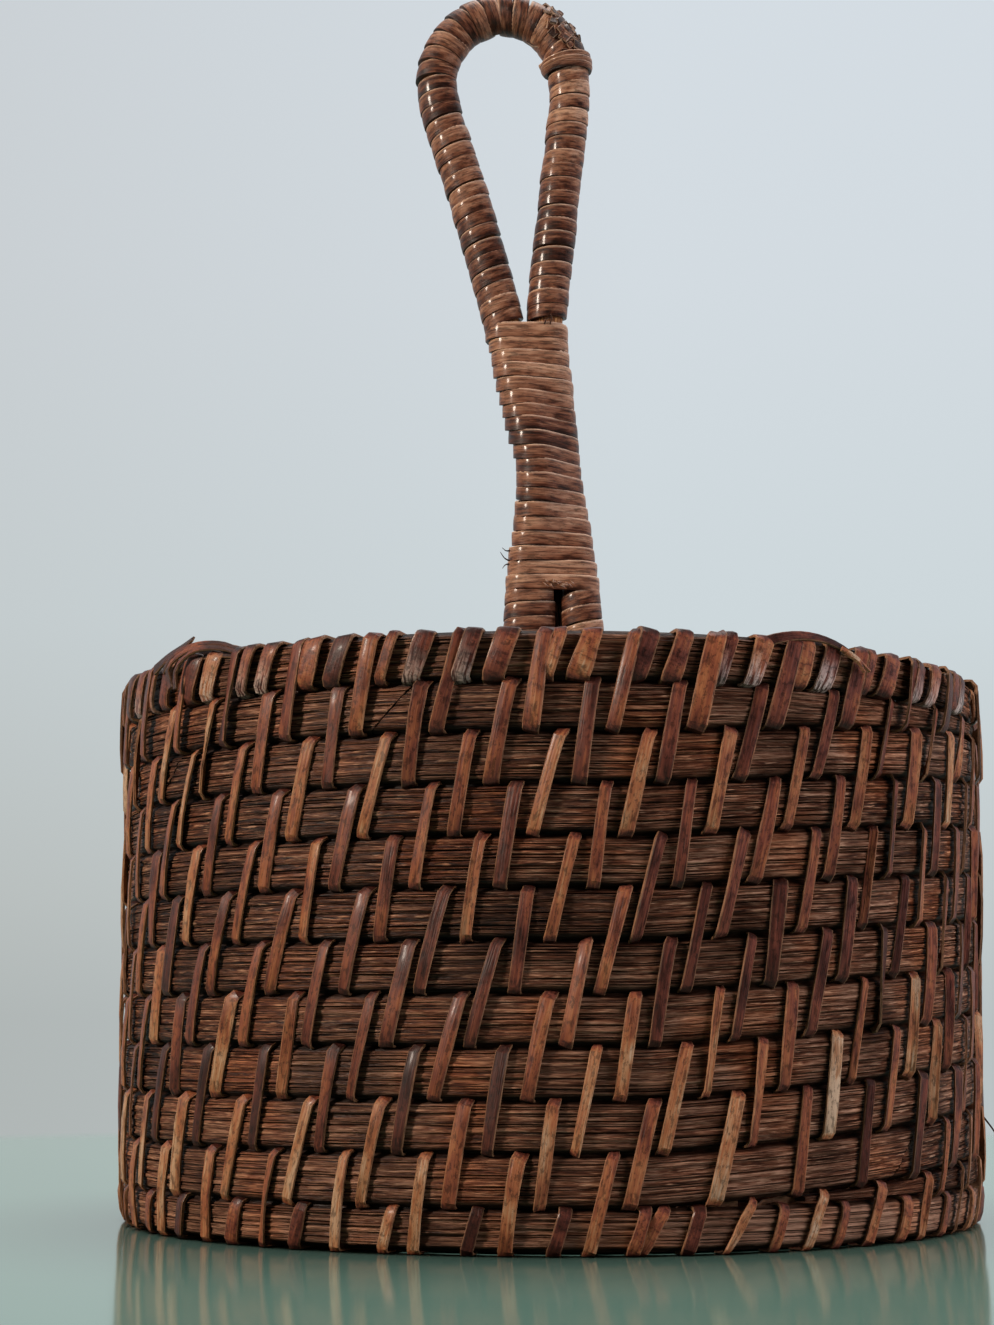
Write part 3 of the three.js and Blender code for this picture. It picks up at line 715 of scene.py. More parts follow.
def lay_bar(station, row, section, points, normals, width, thickness, roll, cup=0.0):
    """Corners of a bar with this section, laid along a path. cup lifts its two edges."""
    across, off = frames(points, normals, roll)
    sideways = section[row, 0] * width[station] / 2
    lift = section[row, 1] * thickness[station] + cup * section[row, 0] ** 2
    return points[station] + across[station] * sideways[:, None] + off[station] * lift[:, None]


def lay_stitch(path, width, thickness, twist=0.0, cup=0.0):
    """Corners of one stitch. Width, thickness and twist are one value or one for each station."""
    sizes = [np.broadcast_to(size, STATIONS) for size in (width, thickness, twist)]
    return lay_bar(stitch_station, stitch_row, STRAP_SECTION, *path, *sizes, cup)


# %% The path of a stitch
def stitch_path(face, back, top, bottom, after, loose, surface, hook=0.0):
    """Points and outward directions of one stitch. top, bottom and the two of after are (place, height)."""
    (st, zt), (sb, zb), (sm, zm), (sn, zn) = top, bottom, *after

    def down(share):
        return st + (sb - st) * share

    # Each row: distance outward, place, height, and how its outward direction leans out and up
    rows = [
        (back + 0.9, st + hook, zt, 0, 1),
        (face - 2.0, st + hook, zt + 0.25, 0.2, 1),
        (face - 0.75, st + 0.6 * hook, zt - 0.1, 0.8, 0.6),
        (face, down(0.06) + 0.25 * hook, zt - 1.1, 1, 0.2),
        *[(face + loose, down(share), zt + (zb - zt) * share, 1, 0) for share in (0.3, 0.5, 0.7)],
        (face, down(0.95), zb + 1.1, 1, -0.2),
        (face - 0.75, sb, zb + 0.1, 0.8, -0.6),
        (face - 2.0, sb, zb - 0.25, 0.2, -1),
        (back + 0.9, sb, zb, 0, -1),
        (back, sb + (sm - sb) * 0.08, zb + 1.2, -1, 0),
        (back, sm, zm, -1, 0),
        (back, sn, zn - 1.0, -1, 0),
    ]
    out, s, z, lean_out, lean_up = (np.array(column, float) for column in zip(*rows))
    points = surface(out, s, z)
    tips = surface(out + lean_out * 0.1, s, z + lean_up * 0.1)
    return points, unit(tips - points)


# %% One piece from many stitches
def join_stitches(name, shapes, stains, nodes=(), worn=0.0, material=strap_cane):
    """One piece from many copies of the stitch, each with its own place, stain and worn foot, and painted
    shade where it dives into the gaps.
    """
    count, copies = len(stitch_station), len(shapes)
    faces = [[v + i * count for v in face] for i in range(copies) for face in stitch_faces]
    mesh = bpy.data.meshes.new(name)
    mesh.from_pydata((above_table(np.concatenate(shapes)) * MM).tolist(), [], faces)
    shifts = np.random.default_rng(copies).uniform(0, 4, (copies, 1, 2))
    mesh.uv_layers.new(name="UVMap").data.foreach_set("uv", (stitch_uv[None] + shifts).ravel())
    # Painted shade: the stain is lowered where the cane dives into the gaps between courses.
    dive_shade = 0.35 * ((stitch_station <= 2) | (stitch_station >= 8))
    foot = np.clip((stitch_station - 4) / 3, 0, 1) * (stitch_station < 10)
    keep(
        mesh,
        stain=np.repeat(stains, count) - np.tile(dive_shade, copies),
        worn=(np.broadcast_to(worn, copies)[:, None] * foot).ravel(),
        edge=np.tile(0.5 * np.isin(stitch_row, CUT_EDGE), copies),
    )
    piece = bpy.data.objects.new(name, mesh)
    bpy.context.scene.collection.objects.link(piece)
    return finish_piece(piece, material, nodes, smooth=32)


# %% [markdown]
# ## The strands of the wall
# The same rule as in the CAD model places every stitch: it hangs from the gap line at its place along
# the coil and ends two courses lower. The stitches of one turn stand half a step beside those of the
# turn below, because a turn isn't a whole number of stitches.

# %% Strands
RIM_START = 360 * COURSE_TURNS + CLIMB_ARC * (1 - SHORT_COURSE / COURSE_PITCH)
TIP_END = 360 + CLIMB_ARC * (SHORT_COURSE / COURSE_PITCH)
FACE = COURSE_THICKNESS / 2 + 0.25
GAP_INSET = 0.45
RIM_STITCHES = 35
DRY_ANGLE, DRY_SPREAD = 58, 32
STRAND_STAINS = [0.7, 0.74, 0.24, 0.66, 0.64, 0.46, 0.38, 0.52, 0.42, 0.56, 0.52]


def wall_stitch(arc, rng, face=FACE, width=STRAP_WIDTH, rim=False):
    """Corners of the stitch at these degrees along the coil."""
    lean = STRAP_LEAN * rng.uniform(0.6, 1.35) * DEGREES_PER_MM
    jog = rng.uniform(-0.7, 0.7) * DEGREES_PER_MM
    s_top, s_bottom = arc + lean + jog, arc - lean + jog
    z_top = RIM_TOP + STRAP_CLEARANCE if rim else line_z(s_top) - GAP_INSET
    z_bottom = COURSE_GAP - 1.2 if arc < 360 else line_z(s_bottom - 720) + GAP_INSET
    ahead = arc + STITCH + lean
    z_ahead = RIM_TOP if arc + STITCH >= RIM_START else line_z(ahead) - GAP_INSET
    middle = (arc + STITCH / 2, line_z(arc + STITCH / 2 - 360))
    path = stitch_path(
        face, -FACE, (s_top, z_top), (s_bottom, z_bottom), (middle, (ahead, z_ahead)),
        rng.uniform(0.05, 0.5), on_wall, rng.uniform(0.4, 1.6) * DEGREES_PER_MM,
    )
    # Towards the right side the cane dried in a trough and twisted more
    dried = hump((CLIMB_START + arc) % 360, DRY_ANGLE, DRY_SPREAD)
    station = np.arange(STATIONS)
    twist = rng.normal(0, 0.14 + 0.15 * dried) + 0.14 * wander(station / 4 + rng.uniform(0, 900), 3)
    if rng.random() < 0.12 + 0.25 * dried:
        twist = twist + rng.choice([-1, 1]) * 0.6 * np.exp(-((station - rng.uniform(4, 8)) ** 2) / 6)
        width *= 0.82
    cup = np.clip(rng.normal(0.05 + 0.45 * dried, 0.2), -0.1, 0.8)
    taper = 1 + 0.12 * wander(station / 3 + rng.uniform(0, 900), 4)
    taper[:3] *= (0.6, 0.8, 0.95)
    widths = width * rng.uniform(0.86, 1.16) * taper * (1 - 0.12 * dried)
    return lay_stitch(path, widths, STRAP_THICKNESS * rng.uniform(0.75, 1.05), twist, cup)


def make_strand(number, first, end, seed):
    """The stitches that one length of cane makes, from one stitch to another."""
    rng = np.random.default_rng(seed)
    shapes, stains = [], []
    for i in range(first, end):
        shapes.append(wall_stitch(i * STITCH, rng))
        slow = 0.16 * float(wander(np.array([i / 6.0]), seed + 1)[0])
        stains.append(np.clip(STRAND_STAINS[number - 1] + slow + rng.normal(0, 0.12), 0.12, 1))
    return join_stitches(f"strand_{number:02d}", shapes, stains, [f"lashing_{number:02d}"])


# %% The eleven strands
rim_first = math.ceil(RIM_START / STITCH)
make_strand(1, 0, math.ceil(360 / STITCH), 300)
stitch = math.ceil(TIP_END / STITCH)
per_strand = math.ceil((rim_first - stitch) / 10)
for i in range(10):
    end = min(stitch + per_strand, rim_first)
    make_strand(i + 2, stitch, end, 310 + i)
    stitch = end
print("Wall stitches:", rim_first)

# %% [markdown]
# ## The rim and foot straps
# The rim is overcast with wider cane. In each step one long strap reaches down over the next course,
# and two short ones bind the rim ring alone. They are pulled over a thicker bundle, so they stand
# prouder than the wall. The foot ring has short straps of its own between the long ones.

# %% Rim and foot straps
FOOT_STRAPS = 36
RIM_LOW, RIM_HIGH = RIM_LINE + GAP_INSET, RIM_TOP + STRAP_CLEARANCE
RIM_BACK = -FACE - 1.2


def ring_stitch(arc, rng, low, high, face, width, lean_mm, back):
    """A short strap round one ring of core."""
    lean = lean_mm * DEGREES_PER_MM
    middle = (arc + 0.4 * lean, (low + high) / 2)
    path = stitch_path(
        face, back, (arc + lean, high), (arc - lean, low), (middle, (arc + lean, high - 0.3)),
        rng.uniform(0.1, 0.5), on_wall,
    )
    station = np.arange(STATIONS)
    twist = rng.normal(0, 0.1) + 0.12 * wander(station / 4 + rng.uniform(0, 900), 5)
    widths = width * rng.uniform(0.85, 1.2) * (1 + 0.12 * wander(station / 3 + rng.uniform(0, 900), 6))
    return lay_stitch(path, widths, STRAP_THICKNESS * rng.uniform(0.9, 1.3), twist)


# %% Straps in each step of the rim and the foot
rng = np.random.default_rng(77)
long_shapes, short_shapes, extra_shapes, foot_shapes = [], [], [], []
for i in range(rim_first, rim_first + RIM_STITCHES):
    long_shapes.append(wall_stitch(i * STITCH, rng, face=FACE + 1.1, width=4.4, rim=True))
    for shapes, share, spread, face, width, lean_mm in (
        (short_shapes, 0.25, 0.04, FACE + 1.0, 5.2 if i % 2 else 3.2, 1.8),
        (extra_shapes, 0.62, 0.05, FACE + 0.7, 5.4, 2.0),
    ):
        arc = (i + share + rng.uniform(-spread, spread)) * STITCH
        shapes.append(ring_stitch(arc, rng, RIM_LOW, RIM_HIGH, face, width, lean_mm, RIM_BACK))
for i in range(FOOT_STRAPS):
    arc = (i + 0.5 + rng.uniform(-0.1, 0.1)) * STITCH
    foot_shapes.append(ring_stitch(arc, rng, 0.5, FOOT_LINE - 0.4, FACE, 3.4, 1.5, -FACE))


def stains_for(shapes, middle, spread):
    """A random stain for each strap, round a middle one."""
    return np.clip(rng.normal(middle, spread, len(shapes)), 0.12, 1)


def some_worn(shapes, share):
    """How worn each strap is. Only a share of them is worn at all."""
    return np.where(rng.random(len(shapes)) < share, rng.uniform(0.5, 1.0, len(shapes)), 0.0)


for name, shapes, middle, share, nodes in (
    ("rim_strand_long", long_shapes, 0.42, 0.05, ["rim_lashing"]),
    ("rim_strand_short", short_shapes, 0.5, 0.3, ["rim_overcast"]),
    ("rim_strand_extra", extra_shapes, 0.52, 0.35, []),
    ("foot_strand_short", foot_shapes, 0.46, 0.0, []),
):
    stains = stains_for(shapes, middle, 0.17)
    join_stitches(name, shapes, stains, nodes, some_worn(shapes, share))
print("Rim straps:", len(long_shapes) + len(short_shapes) + len(extra_shapes))

# %% [markdown]
# ## The line of the handle
# The handle is one rod, so its middle line is one smooth curve: up the left leg, over the loop and
# down the right leg. A centripetal Catmull-Rom curve passes through chosen points without loops
# or kinks, and is read at even steps.

# %% The middle line
ROD_R = 5.1
LOOP_SIDE_X, LOOP_WIDTH, LOOP_SIDE_Z, LOOP_RISE = -14.4, 43, 359, 23.4
CROTCH_X, CROTCH_SPREAD, CROTCH_Z = -6.8, 12.9, 276

# Each leg point has its place across, the spread of the legs, its height and how deep they cross
leg_points = [
    (1.8, 20.4, 5.3, 0), (1.8, 20.4, RIM_LINE - COURSE_PITCH * 4, 0), (1.8, 20.4, RIM_TOP, 0),
    (1.2, 16.8, 190, 0), (0.3, 7.4, 229, 7.8), (-2.9, 9.6, 249, 5),
    (CROTCH_X, CROTCH_SPREAD, CROTCH_Z, 0),
    ((CROTCH_X + LOOP_SIDE_X) / 2, (CROTCH_SPREAD + LOOP_WIDTH) / 2, (CROTCH_Z + LOOP_SIDE_Z) / 2, 0),
]
left_leg, right_leg = (
    [(x + side * spread / 2, side * deep / 2, z) for x, spread, z, deep in leg_points] for side in (-1, 1)
)
loop_top = [
    (LOOP_SIDE_X - LOOP_WIDTH / 2 * math.cos(turn), 0, LOOP_SIDE_Z + LOOP_RISE * math.sin(turn))
    for turn in (i / 6 * math.pi for i in range(7))
]
knots = np.array(left_leg + loop_top + right_leg[::-1], float)
print("Chosen points of the rod:", len(knots))


# %% A smooth curve
def read_line(places, run, line):
    """Points of a line at these distances along it."""
    return np.stack([np.interp(places, run, line[:, k]) for k in range(3)], -1)


def smooth_line(knots, fine=60):
    """Points of a centripetal Catmull-Rom curve through the knots, at even steps of about 0.5 mm."""
    ends = np.vstack([2 * knots[0] - knots[1], knots, 2 * knots[-1] - knots[-2]])
    parts = []
    for a, b, c, d in zip(ends, ends[1:], ends[2:], ends[3:]):
        ab, bc, cd = (max(np.linalg.norm(q - p), 1e-6) ** 0.5 for p, q in ((a, b), (b, c), (c, d)))
        slope_b = ((b - a) / ab - (c - a) / (ab + bc) + (c - b) / bc) * bc
        slope_c = ((c - b) / bc - (d - b) / (bc + cd) + (d - c) / cd) * bc
        t = np.linspace(0, 1, fine, endpoint=False)[:, None]
        bend = (3 * (c - b) - 2 * slope_b - slope_c) * t**2
        parts.append(b + slope_b * t + bend + (2 * (b - c) + slope_b + slope_c) * t**3)
    line = np.vstack(parts + [knots[-1:]])
    run = np.concatenate([[0], np.cumsum(np.linalg.norm(np.diff(line, axis=0), axis=1))])
    even = np.linspace(0, run[-1], int(run[-1] / 0.5))
    return read_line(even, run, line), even


# %% The line of the rod
rod_line, rod_run = smooth_line(knots)
rod_length = rod_run[-1]
rod_top = int(np.argmax(rod_line[:, 2]))


def rod_point(distance):
    """Point of the middle line and its direction, at a distance along it."""
    point, ahead, behind = (read_line(distance + step, rod_run, rod_line) for step in (0, 0.5, -0.5))
    return point, unit(ahead - behind)


def leg_distance(right, z):
    """Distance along the middle line at which one leg passes a height."""
    if right:
        return float(np.interp(-z, -rod_line[rod_top:, 2], rod_run[rod_top:]))
    return float(np.interp(z, rod_line[: rod_top + 1, 2], rod_run[: rod_top + 1]))


def round_rod(distance, angle):
    """Middle of the rod and the direction at an angle round it."""
    point, along = rod_point(distance)
    across = unit(np.cross(np.array([0.0, 1.0, 0.0]), along))
    forward = np.cross(along, across)
    return point, across * np.cos(angle)[..., None] + forward * np.sin(angle)[..., None]


print("Length of the rod:", round(float(rod_length)), "mm")

# %% [markdown]
# ## Finish of the handle
# The rod is a peeled rattan stem, dull and dry, a little thicker at each joint. Its winding is the widest
# cane on the carrier, varnished and polished by hands. It gets a clear coat, so it has the strongest
# gloss, over a stain that has gone blotchy.

# %% Rod and winding materials
rod_cane = split_core(
    "peeled_rattan_stem",
    [(0.35, "#40271A"), (0.6, "#6B452C"), (0.8, "#8A613D"), (1.0, "#A57C50")],
    [(0.3, "#D8C8B8"), (0.5, "#FFF0E0"), (0.7, "#FFE0C0")],
    "#B9966A",
)
# Its pale edge colour paints the cut edges and the painted highlight along the upper edge of each turn.
wrap_cane = skin_cane(
    "varnished_wide_cane",
    [(0.0, "#28120B"), (0.25, "#4B2617"), (0.45, "#6E442F"), (0.7, "#8B6047"), (1.0, "#AF876A")],
    "#E2BC9E", cloudy=0.28, blotchy=0.5, cloud_scale=(200, 480, 1), speck_scale=500, coat=0.22,
)
print("Handle finishes:", rod_cane.name, wrap_cane.name)

# %% The rod
ROD_COLUMNS, ROD_ROWS = 240, 16
JOINT_STEP = 170

rod, station, row = rolled_bar("bent_rod", ROD_COLUMNS, ROD_ROWS)
distance = station / ROD_COLUMNS * rod_length
middle, out = round_rod(distance, row / ROD_ROWS * 2 * math.pi)
joint = hump((distance + 40) % JOINT_STEP, JOINT_STEP / 2, 3.0)
girth = ROD_R - 0.15 + 0.12 * wander(distance / 9 + row * 2.7, 41) + 0.3 * joint
write_points(rod.data, middle + out * girth[:, None])
keep(rod.data, depth=1 - 0.6 * joint, tone=0.08 * wander(distance / 30, 42))
scale_uv(rod.data, rod_length, 31)
finish_piece(rod, rod_cane, ["handle_rod"])
print("Faces of the rod:", len(rod.data.polygons))

# %% [markdown]
# ## Windings of the handle
# Each winding is one flat cane, laid turn against turn. A turn takes 28 stations, and a whole winding
# is one bar, because its turns flow into each other. The lower side of each turn is darkened with
# painted shade, and its rounded upper edge is painted pale, a cut edge with a painted highlight, which
# gives the bright lines and the scalloped outline.

# %% Windings
WRAP_SECTION = np.array([
    (-1, 0.0), (-1, 0.9), (-0.94, 1.0), (-0.3, 1.04), (0, 1.04),
    (0.35, 1.02), (0.65, 0.96), (0.88, 0.89), (1, 0.8), (1, 0.0),
])
# Painted shade for each row of the section: the lower side of each turn is darkened, most at its edge.
WRAP_LOWER_SHADE = np.array([0.48, 0.48, 0.3, 0.14, 0.04, 0, 0, 0, 0, 0])
TURN_STEPS = 28
TURN_LENGTH, WRAP_GIRTH = 38, 14


def make_winding(name, nodes, first, last, centre, width, upper, seed, fade=(0, 0), thickness=1.35, roll=0.0):
    """A winding: centre(turn) gives the points under the band and the directions off it.

    upper is 1 where the band's right-hand edge, in the direction of laying, looks up, and -1 where
    the left one does. fade lightens or darkens it along its length. roll tips the band over."""
    columns = int((last - first) * TURN_STEPS)
    bar, station, row = rolled_bar(name, columns, len(WRAP_SECTION))
    turn = first + np.arange(columns + 1) / TURN_STEPS
    widths = width * (1 + 0.07 * wander(turn * 1.3, seed))
    thick = thickness * (1 + 0.14 * wander(turn * 2.1, seed + 1))
    rolls = roll + 0.03 * wander(turn * 0.9, seed + 2) + 0.04 * wander(turn * 2.7, seed + 6)
    section = WRAP_SECTION if upper > 0 else WRAP_SECTION[::-1] * np.array([-1, 1])
    write_points(bar.data, lay_bar(station, row, section, *centre(turn), widths, thick, rolls))
    shade = 0.55 + 0.2 * wander(turn * 0.55, seed + 3) + 0.16 * wander(turn * 3.3, seed + 4)
    faded = np.interp(np.linspace(0, 1, len(turn)), np.linspace(0, 1, len(fade)), fade)
    shade = np.clip(shade + 0.12 * wander(np.floor(turn), seed + 5) + faded, 0, 1)
    side = row if upper > 0 else len(WRAP_SECTION) - 1 - row
    # The lower rows take painted shade, the upper edge pale paint for its cut edge and a painted highlight.
    keep(bar.data, stain=shade[station] - WRAP_LOWER_SHADE[side], edge=0.95 * (side >= 8) + 0.3 * (side == 7))
    scale_uv(bar.data, (last - first) * TURN_LENGTH, WRAP_GIRTH)
    return finish_piece(bar, wrap_cane, nodes, smooth=30)


def on_rod(start, pitch, seed, radius=5.25, tilt=0.0, stretch=0.0):
    """Path of a winding on the rod. tilt slants its turns, stretch widens them to the right."""
    def centre(turn):
        place = start + pitch * (turn + 0.43 + 0.11 * wander(turn, seed))
        middle, out = round_rod(place + tilt * np.cos(turn * 2 * math.pi), turn * 2 * math.pi)
        points = middle + out * (radius + 0.18 * wander(turn * 1.7, seed + 7))[:, None]
        points[:, 0] += stretch * np.clip(0.5 + 0.9 * out[:, 0], 0, 1)
        return points, out
    return centre


# %% Windings of the loop and of each leg
WRAP_GAP = 0.65
OVERLAP = 1.02
LOOP_START_Z = 278.6
LOOP_TURNS = 25
LEG_PITCH, LEG_TURNS, LEG_WRAP_TOP = 4.7, 6, 189

middle_distance = rod_run[rod_top]
left_start, right_end = leg_distance(False, LOOP_START_Z), leg_distance(True, LOOP_START_Z)
left_pitch = (middle_distance - left_start + WRAP_GAP) / LOOP_TURNS
right_pitch = (right_end - middle_distance + WRAP_GAP) / LOOP_TURNS
make_winding(
    "loop_cane_left", ["loop_wrap_left"], -0.8, 24, on_rod(left_start, left_pitch, 51),
    left_pitch * OVERLAP, -1, 52, (-0.18, -0.14, -0.04, -0.04, -0.12, -0.1, -0.03, 0), roll=0.03,
)
# Its fade darkens the lower end of the right limb with painted shade.
make_winding(
    "loop_cane_right", ["loop_wrap_right"], -0.6, 24.2, on_rod(middle_distance, right_pitch, 61),
    right_pitch * OVERLAP, 1, 62, (0.05, 0.12, 0.1, 0.16, 0.1, -0.04, -0.12, -0.18),
)
left_leg_start = leg_distance(False, LEG_WRAP_TOP) - (LEG_TURNS * LEG_PITCH - WRAP_GAP)
right_leg_start = leg_distance(True, LEG_WRAP_TOP)
make_winding(
    "leg_cane_left", ["leg_wrap_left"], 0, 5.9, on_rod(left_leg_start, LEG_PITCH, 71, stretch=3.4),
    LEG_PITCH, -1, 72,
)
make_winding(
    "leg_cane_right", ["leg_wrap_right"], -0.9, 5, on_rod(right_leg_start, LEG_PITCH, 81), LEG_PITCH, 1, 82
)
print("Pitch of the loop winding:", round(float(left_pitch), 2), round(float(right_pitch), 2), "mm")

# %% The winding round both legs
TRUNK_BOTTOM, TRUNK_TOP, TRUNK_TURNS = 191, 276.6, 18
trunk_pitch = (TRUNK_TOP - TRUNK_BOTTOM + WRAP_GAP) / (TRUNK_TURNS + 1)


def round_trunk(turn):
    """Half a circle round each leg and a straight run between them. It climbs mostly at the back."""
    lap = np.floor(turn)
    late = np.clip((turn - lap - 0.7) / 0.3, 0, 1)
    climbed = lap + 0.15 * (turn - lap) + 0.85 * late * late * (3 - 2 * late)
    z = TRUNK_BOTTOM + trunk_pitch * np.minimum(climbed + 0.5 + 0.08 * wander(turn, 91), TRUNK_TURNS + 0.5)
    left, right = (
        rod_point(np.array([leg_distance(is_right, value) for value in z]))[0] for is_right in (False, True)
    )
    level_gap = (right - left) * (1, 1, 0)
    across = unit(level_gap)
    forward = np.stack([across[:, 1], -across[:, 0], 0 * z], 1)
    # Each turn goes half round the left leg, in front to the right leg, half round it, and back behind
    gap = np.linalg.norm(level_gap, axis=1)
    radius = 5.7 + 0.15 * wander(turn * 1.9, 92)
    arc = math.pi * radius
    run = (turn + 0.4) % 1 * 2 * (arc + gap)
    angle = math.pi / 2 + (np.clip(run, 0, arc) + np.clip(run - arc - gap, 0, arc)) / radius
    slide = np.clip((run - arc) / gap, 0, 1) - np.clip((run - 2 * arc - gap) / gap, 0, 1)
    out = across * np.cos(angle)[:, None] + forward * np.sin(angle)[:, None]
    points = left + (right - left) * slide[:, None] + out * radius[:, None]
    points[:, 2] = z
    return points, out


make_winding(
    "trunk_cane", ["trunk_wrap"], 0, TRUNK_TURNS + 0.99, round_trunk, trunk_pitch * OVERLAP, 1, 93,
    (0, 0.16, 0.22, -0.02, -0.1, -0.04, 0.12, 0.16), thickness=1.2,
)
print("Pitch of the trunk winding:", round(trunk_pitch, 2), "mm")

# %% [markdown]
# ## Between the legs
# A strip of the flat core stands between the legs and keeps them apart. It is as wide at each height
# as the windings leave room for, and lies in shade, so its colour is darkened with painted shade.

# %% The spacer
SPACER_GAP = 0.5
SPACER_BOTTOM, SPACER_TOP = 5.3, TRUNK_BOTTOM + 1
SPACER_STATIONS = 91
WINDING_R = 5.1
heights = np.linspace(SPACER_BOTTOM, SPACER_TOP, SPACER_STATIONS)


def spacer_edge(right):
    """The edge of the spacer beside one leg: its place across at any height."""
    distances = np.array([leg_distance(right, z) for z in heights])
    reach = WINDING_R + SPACER_GAP
    places = rod_point(distances)[0][:, 0] + (-reach if right else reach)
    return lambda z: np.interp(z, heights, places)


spacer = core_bar(
    "core_spacer", heights, spacer_edge(False), spacer_edge(True),
    lambda out, z, x: np.stack([x, -0.9 * out, z + 0 * x], -1), 401,
    # Painted shade: its tone is lowered because the spacer lies in shade between the legs.
    lambda station, row, points: -0.25 + 0.05 * wander(station / 9, 402),
    SPACER_TOP - SPACER_BOTTOM, limits=(1, -2.5, 2.5), girth=20,
)
finish_piece(spacer, wall_core, ["leg_spacer"], smooth=40)
print("Height of the spacer:", round(SPACER_TOP - SPACER_BOTTOM, 1), "mm")

# %% [markdown]
# ## Wear and loose ends
# The carrier is old. High on the right of the loop the winding has burst: three turns are bunched up
# into a slanting collar, and torn scraps of cane stand off above it. On the rim two splices end in
# loose arched strips, and a few hairs and splinters stick out. All are short bars through a few
# chosen points, as one would bend them by hand.


# %% The collar and the torn scraps
def small_strip(knots, outward, width, thickness, twist=0.0, point=1.0):
    """Corners of a short loose strip through a few points. point is the width left at its end."""
    line, run = smooth_line(np.array(knots, float))
    share = np.linspace(0, 1, STATIONS)
    points = read_line(share * run[-1], run, line)
    normals = np.broadcast_to(unit(np.array(outward, float)), points.shape)
    widths = width * np.linspace(1, point, STATIONS)
    thick = thickness * np.linspace(1, 0.5 + 0.5 * point, STATIONS)
    return lay_stitch((points, normals), widths, thick, twist * share)


COLLAR_Z = 368
SCRAPS = 34
collar_path = on_rod(leg_distance(True, COLLAR_Z), 1.4, 101, 7.1, tilt=-0.7)
make_winding("burst_collar", [], 0, 3, collar_path, 2.2, 1, 102, thickness=1.3, roll=0.35)

rng = np.random.default_rng(616)
scraps, scrap_stains = [], []
for i in range(SCRAPS):
    distance = leg_distance(True, rng.uniform(366, 378.5))
    angle = rng.uniform(2.5, 4.4)
    spread = rng.uniform(0.3, 0.7)
    lift = rng.uniform(-0.4, 1.1)
    slide = rng.uniform(-3, 3)
    knots = []
    for share in (0, 0.4, 0.75, 1):
        middle, out = round_rod(np.array([distance + slide * share]), np.array([angle + spread * share]))
        knots.append(tuple((middle + out * (6.5 + lift * share**2))[0]))
    outward = round_rod(np.array([distance]), np.array([angle]))[1][0]
    width, twist, point = rng.uniform(1.8, 4.2), rng.uniform(-0.5, 0.5), rng.uniform(0.6, 1)
    scraps.append(small_strip(knots, outward, width, 0.9, twist, point))
    scrap_stains.append(rng.choice([0.1, 0.3, 0.55]))
spur = [(-1.6, -2.0, 371.5), (-4.2, -1.0, 372.2), (-6.2, -0.5, 373.4)]
scraps.append(small_strip(spur, (0, -1, 0.4), 3.2, 1.0, 0.4, 0.3))
scrap_stains.append(0.15)
join_stitches("torn_scraps", scraps, scrap_stains, material=wrap_cane)
print("Torn scraps:", len(scraps))

# %% The splices on the rim
# Each strip has its width, its stain and its points: degrees from the front, distance from the axis
# and height. The first six lie on the left of the rim, the others on the right
SPLICES = [
    (3.6, 0.05, [(-60, 131, 157), (-57, 130, 159.8), (-54, 129, 162), (-51.5, 129, 163.6)]),
    (2.0, 0.4, [
        (-56, 132.5, 155), (-54.5, 131.5, 159.2), (-51, 129.5, 161.6), (-46, 128, 161), (-42, 128, 158),
    ]),
    (1.8, 0.5, [
        (-53.5, 133, 150), (-54.5, 132.8, 156), (-51.5, 131, 160), (-46.5, 129, 160), (-42, 128.5, 157.4),
    ]),
    (1.5, 0.45, [
        (-52.3, 133.2, 149.5), (-52.4, 133, 155), (-50, 131.5, 159.2), (-45, 130, 159.1), (-42, 129.5, 157),
    ]),
    (5.0, 0.05, [(-57, 126.5, 157.8), (-52, 126.5, 160.2), (-46, 126.5, 159.6), (-42, 127, 157.8)]),
    (5.0, 0.0, [(-58, 128, 156), (-53, 128, 158.6), (-47, 128, 158.6), (-42, 128, 157)]),
    (3.2, 0.25, [
        (24, 128.5, 156.2), (26.5, 129.5, 158.2), (30, 130, 159.4),
        (33.5, 130.5, 158.6), (36.3, 131.5, 156), (38.2, 133, 152),
    ]),
    (3.4, 0.1, [(26, 127.5, 157), (30, 127.5, 158.4), (34, 128, 157.8), (37, 129, 156)]),
    (1.6, 0.95, [(35, 132, 156.6), (36.8, 133, 154.4), (38.8, 133.6, 151)]),
    (1.4, 0.9, [(35.6, 132.2, 155.6), (37, 133.4, 153.4), (37.8, 133.8, 150.6)]),
]


def near_rim(angle, radius, z):
    """A place near the rim, by degrees from the front, distance from the axis and height."""
    return (radius * math.sin(math.radians(angle)), -radius * math.cos(math.radians(angle)), z)


splices = [
    small_strip([near_rim(*knot) for knot in knots], near_rim(knots[0][0], 1, 0.25), width, 0.9, 0.3, 0.5)
    for width, stain, knots in SPLICES
]
join_stitches("rim_splices", splices, [stain for width, stain, knots in SPLICES])
print("Splice strips:", len(splices))

# %% Hairs and splinters
SLIVERS = 26
HAIRS = [
    [(-12.0, -3, 204.2), (-13.4, -3.4, 204.0), (-14.6, -3.6, 205.0)],
    [(-12.2, -3, 200.8), (-13.8, -3.4, 201.6), (-15.2, -3.8, 203.6)],
    [(-12.2, -3, 199.8), (-13.6, -3.4, 199.6), (-14.6, -3.6, 198.4)],
    [(129.2, -12, 30), (132.4, -14, 25), (134.6, -15, 19), (135.4, -15, 16)],
    [(-1.2, -6.5, 276.6), (-0.4, -7.0, 278.2), (1.4, -7.2, 278.6)],
    [(0.6, -6.5, 276.6), (1.1, -7.2, 278.4), (0.7, -7.4, 279.8)],
]

